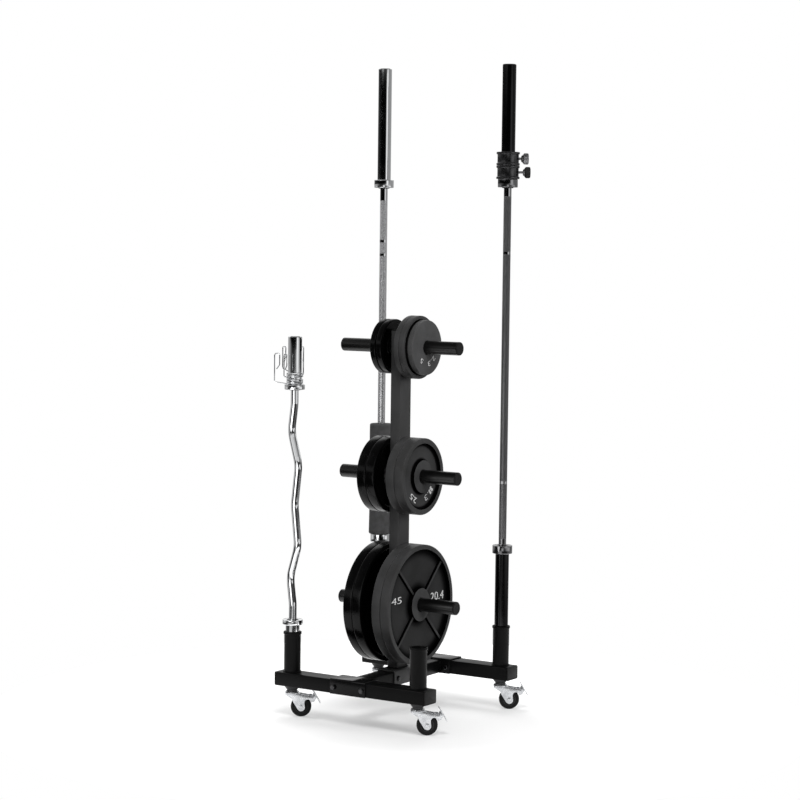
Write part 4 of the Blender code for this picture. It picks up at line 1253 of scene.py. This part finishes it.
# Screw collars: blackened rings with a lip at each end that clamp the sleeve when the
# knob is turned in. The knob's grip is ridged and is driven on a threaded pin.
CLAMP_RADIUS = 0.0425
CLAMP_WAIST = 0.039
CLAMP_BORE = 0.0256
CLAMP_LIP = 0.008
KNOB_TURN = 33.0
KNOB_RADIUS = 0.0205
KNOB_LENGTH = 0.027
KNOB_HEAD = 0.0475
KNOB_TIP = 0.0262
KNOB_SHOULDER = KNOB_HEAD + 0.007
KNOB_END = KNOB_HEAD + KNOB_LENGTH
KNOB_LOOSE = 0.007
RIDGE_INSET = 0.003
RIDGE_SIZES = {"Ridges": 20, "Grip radius": KNOB_RADIUS - 0.0020, "Ridge width": 0.004,
               "Ridge length": KNOB_END - KNOB_SHOULDER - 2 * RIDGE_INSET}


def ridge_tree():
    """Round ridges in a ring about Z, for a grip."""
    given = grower("grip_ridges", RIDGE_SIZES)
    ring_of = given.node("MeshCircle", {
        "Vertices": given.out("Ridges"), "Radius": given.out("Grip radius")})
    ridge = given.node("MeshCylinder", {
        "Vertices": 10, "Radius": given.out("Ridge width") * 0.5, "Depth": given.out("Ridge length")})
    return full_grown(given, given.node("InstanceOnPoints", {
        "Points": ring_of, "Instance": ridge}))


CLAMP_BLACK = black_steel("clamp_black", 0.10, 0.18)
KNOB_SILVER = black_steel("knob_silver", 0.42, 0.28)
KNOB_BLACK = moulded_plastic("knob_plastic", 0.014)
ridges = ridge_tree()
for name, loose, grip_finish in (("lower", KNOB_LOOSE, KNOB_BLACK), ("upper", 0.0, KNOB_SILVER)):
    clamp, knob = name + "_clamp", name + "_clamp_knob"
    low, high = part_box(clamp)
    half = (high.z - low.z) / 2
    middle = upright_at("black_bar_shaft", (low.z + high.z) / 2) @ turn(KNOB_TURN, "Z")
    turned(clamp + "_ring", mirrored([
        (CLAMP_BORE, half, 0.001), (CLAMP_RADIUS, half, 0.002), (CLAMP_RADIUS, half - CLAMP_LIP, 0.002),
        (CLAMP_WAIST, half - CLAMP_LIP - 0.001, 0.001),
    ]), middle, CLAMP_BLACK, clamp, [clamp])
    along = middle @ shift(loose, 0.0, 0.0) @ TO_X
    turned(name + "_knob_pin", (
        (0.0, KNOB_TIP), (0.0040, KNOB_TIP, 0.0006), (0.0049, KNOB_TIP + 0.0012, 0.0004),
        (0.0049, KNOB_HEAD - 0.001), (0.0110, KNOB_HEAD, 0.001), (0.0150, KNOB_SHOULDER, 0.001),
        (0.0, KNOB_SHOULDER),
    ), along, KNOB_SILVER, knob, [knob], 40)
    turned(name + "_knob_grip", (
        (0.0, KNOB_SHOULDER - 0.002), (0.0150, KNOB_SHOULDER - 0.002, 0.002),
        (KNOB_RADIUS - 0.0012, KNOB_SHOULDER + 0.002, 0.002), (KNOB_RADIUS - 0.0012, KNOB_END - 0.001, 0.002),
        (KNOB_RADIUS - 0.006, KNOB_END, 0.002), (0.0, KNOB_END),
    ), along, grip_finish, knob, facets=48)
    held = grown(name + "_knob_ridges", guide("dot", [([(0.0, 0.0, 0.0)], False)]), ridges, RIDGE_SIZES,
                 grip_finish, knob)
    held.data.transform(along @ shift(0.0, 0.0, KNOB_END - RIDGE_INSET - RIDGE_SIZES["Ridge length"] / 2))


# Curl bar: one round bar bent cold into its zigzag of grips, chromed, with a short
# sleeve on each end. Two wire springs are squeezed by their handles onto the sleeves.
BENDS = ((0.0, 0.007), (0.147, 0.034), (0.263, -0.021), (0.360, 0.0))
BEND_PLANE = math.radians(-25.0)
CURL_SLEEVE = 0.172
CURL_FLANGE = 0.018
BAR_ROD = {"Rod diameter": 2 * SHAFT_RADIUS, "Bend radius": 0.085, "Sides": 32, "Bend steps": 12}
COIL_WIRE = 0.0042
WIRE_ROD = {"Rod diameter": COIL_WIRE, "Bend radius": 0.006, "Sides": 10, "Bend steps": 4}
COIL_RADIUS = 0.02815
COIL_STEP = 0.0045
COIL_TURNS = 4
COIL_POINTS = 110
HANDLE_REACH = 0.073
HANDLE_WIDTH = 0.018
HANDLE_TOP = 0.110
HANDLE_RETURN = 0.040
HANDLE_RISE = 0.006
HANDLE_TAIL = (0.011, -0.016)
HANDLE_SPREAD = math.radians(62.0)
HANDLE_TURN = {"lower": 212.0, "upper": 101.0}


def bent_rod_tree():
    """A round rod that follows its guide, with a radius at each bend."""
    given = grower("bent_rods", BAR_ROD)
    path = given.node("FilletCurve", {
        "Curve": given.node("MeshToCurve", {"Mesh": given.out("Geometry")}),
        "Count": given.out("Bend steps"), "Radius": given.out("Bend radius"), "Limit Radius": True,
    }, mode="POLY")
    section = given.node("CurvePrimitiveCircle", {
        "Resolution": given.out("Sides"), "Radius": given.out("Rod diameter") * 0.5})
    return full_grown(given, given.node("CurveToMesh", {
        "Curve": path, "Profile Curve": section, "Fill Caps": True}))


rods = bent_rod_tree()
low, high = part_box("curl_bar_shaft")
foot_at = centre_of("curl_bar_lower_sleeve")
curl_at = Vector((foot_at.x, foot_at.y, (low.z + high.z) / 2))
upward = Vector((0.0, 0.0, 1.0))
end = upward * (high.z - low.z) / 2
swing = polar(1.0, BEND_PLANE)
upper_bends = [swing * offset + upward * along for along, offset in BENDS]
lower_bends = [Vector((bend.x, bend.y, -bend.z)) for bend in reversed(upper_bends[1:])]
route = [curl_at + bend for bend in (-end, *lower_bends, *upper_bends, end)]
grown("curl_bar_rod", guide("curl", [(route, False)]), rods, BAR_ROD, chrome_plate("curl_chrome", 0.07),
      "curl_bar", ["curl_bar_shaft"])
bar_sleeves("curl_bar", CURL_SLEEVE, CURL_FLANGE, CHROME, CHROME)


def handle(start, angle, rise):
    """A wire handle, out from the coil, up, over and down again to its tail."""
    fold, end = HANDLE_REACH - HANDLE_WIDTH, HANDLE_TOP - HANDLE_RETURN
    out, down = HANDLE_TAIL
    points = (
        (COIL_RADIUS + COIL_WIRE * 1.2, start), (HANDLE_REACH, start + rise), (HANDLE_REACH, HANDLE_TOP),
        (fold, HANDLE_TOP), (fold, end), (fold + out, end + down))
    return [polar(x, angle, z) for x, z in points]


bottom, top = COIL_STEP / 2, COIL_STEP * (COIL_TURNS + 0.5)
sweep = COIL_TURNS * 2 * math.pi + HANDLE_SPREAD
shares = [k / COIL_POINTS for k in range(COIL_POINTS + 1)]
coil = [polar(COIL_RADIUS, sweep * share, bottom + (top - bottom) * share) for share in shares]
wire = handle(bottom, 0.0, HANDLE_RISE)[::-1] + coil + handle(top, sweep, 2 * HANDLE_RISE)
for name, degrees in HANDLE_TURN.items():
    collar = name + "_spring_collar"
    foot = shift(curl_at.x, curl_at.y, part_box(collar)[0].z) @ turn(degrees, "Z")
    grown(name + "_spring_wire", guide("wire", [([foot @ point for point in wire], False)]), rods, WIRE_ROD,
          CHROME, collar, [collar])
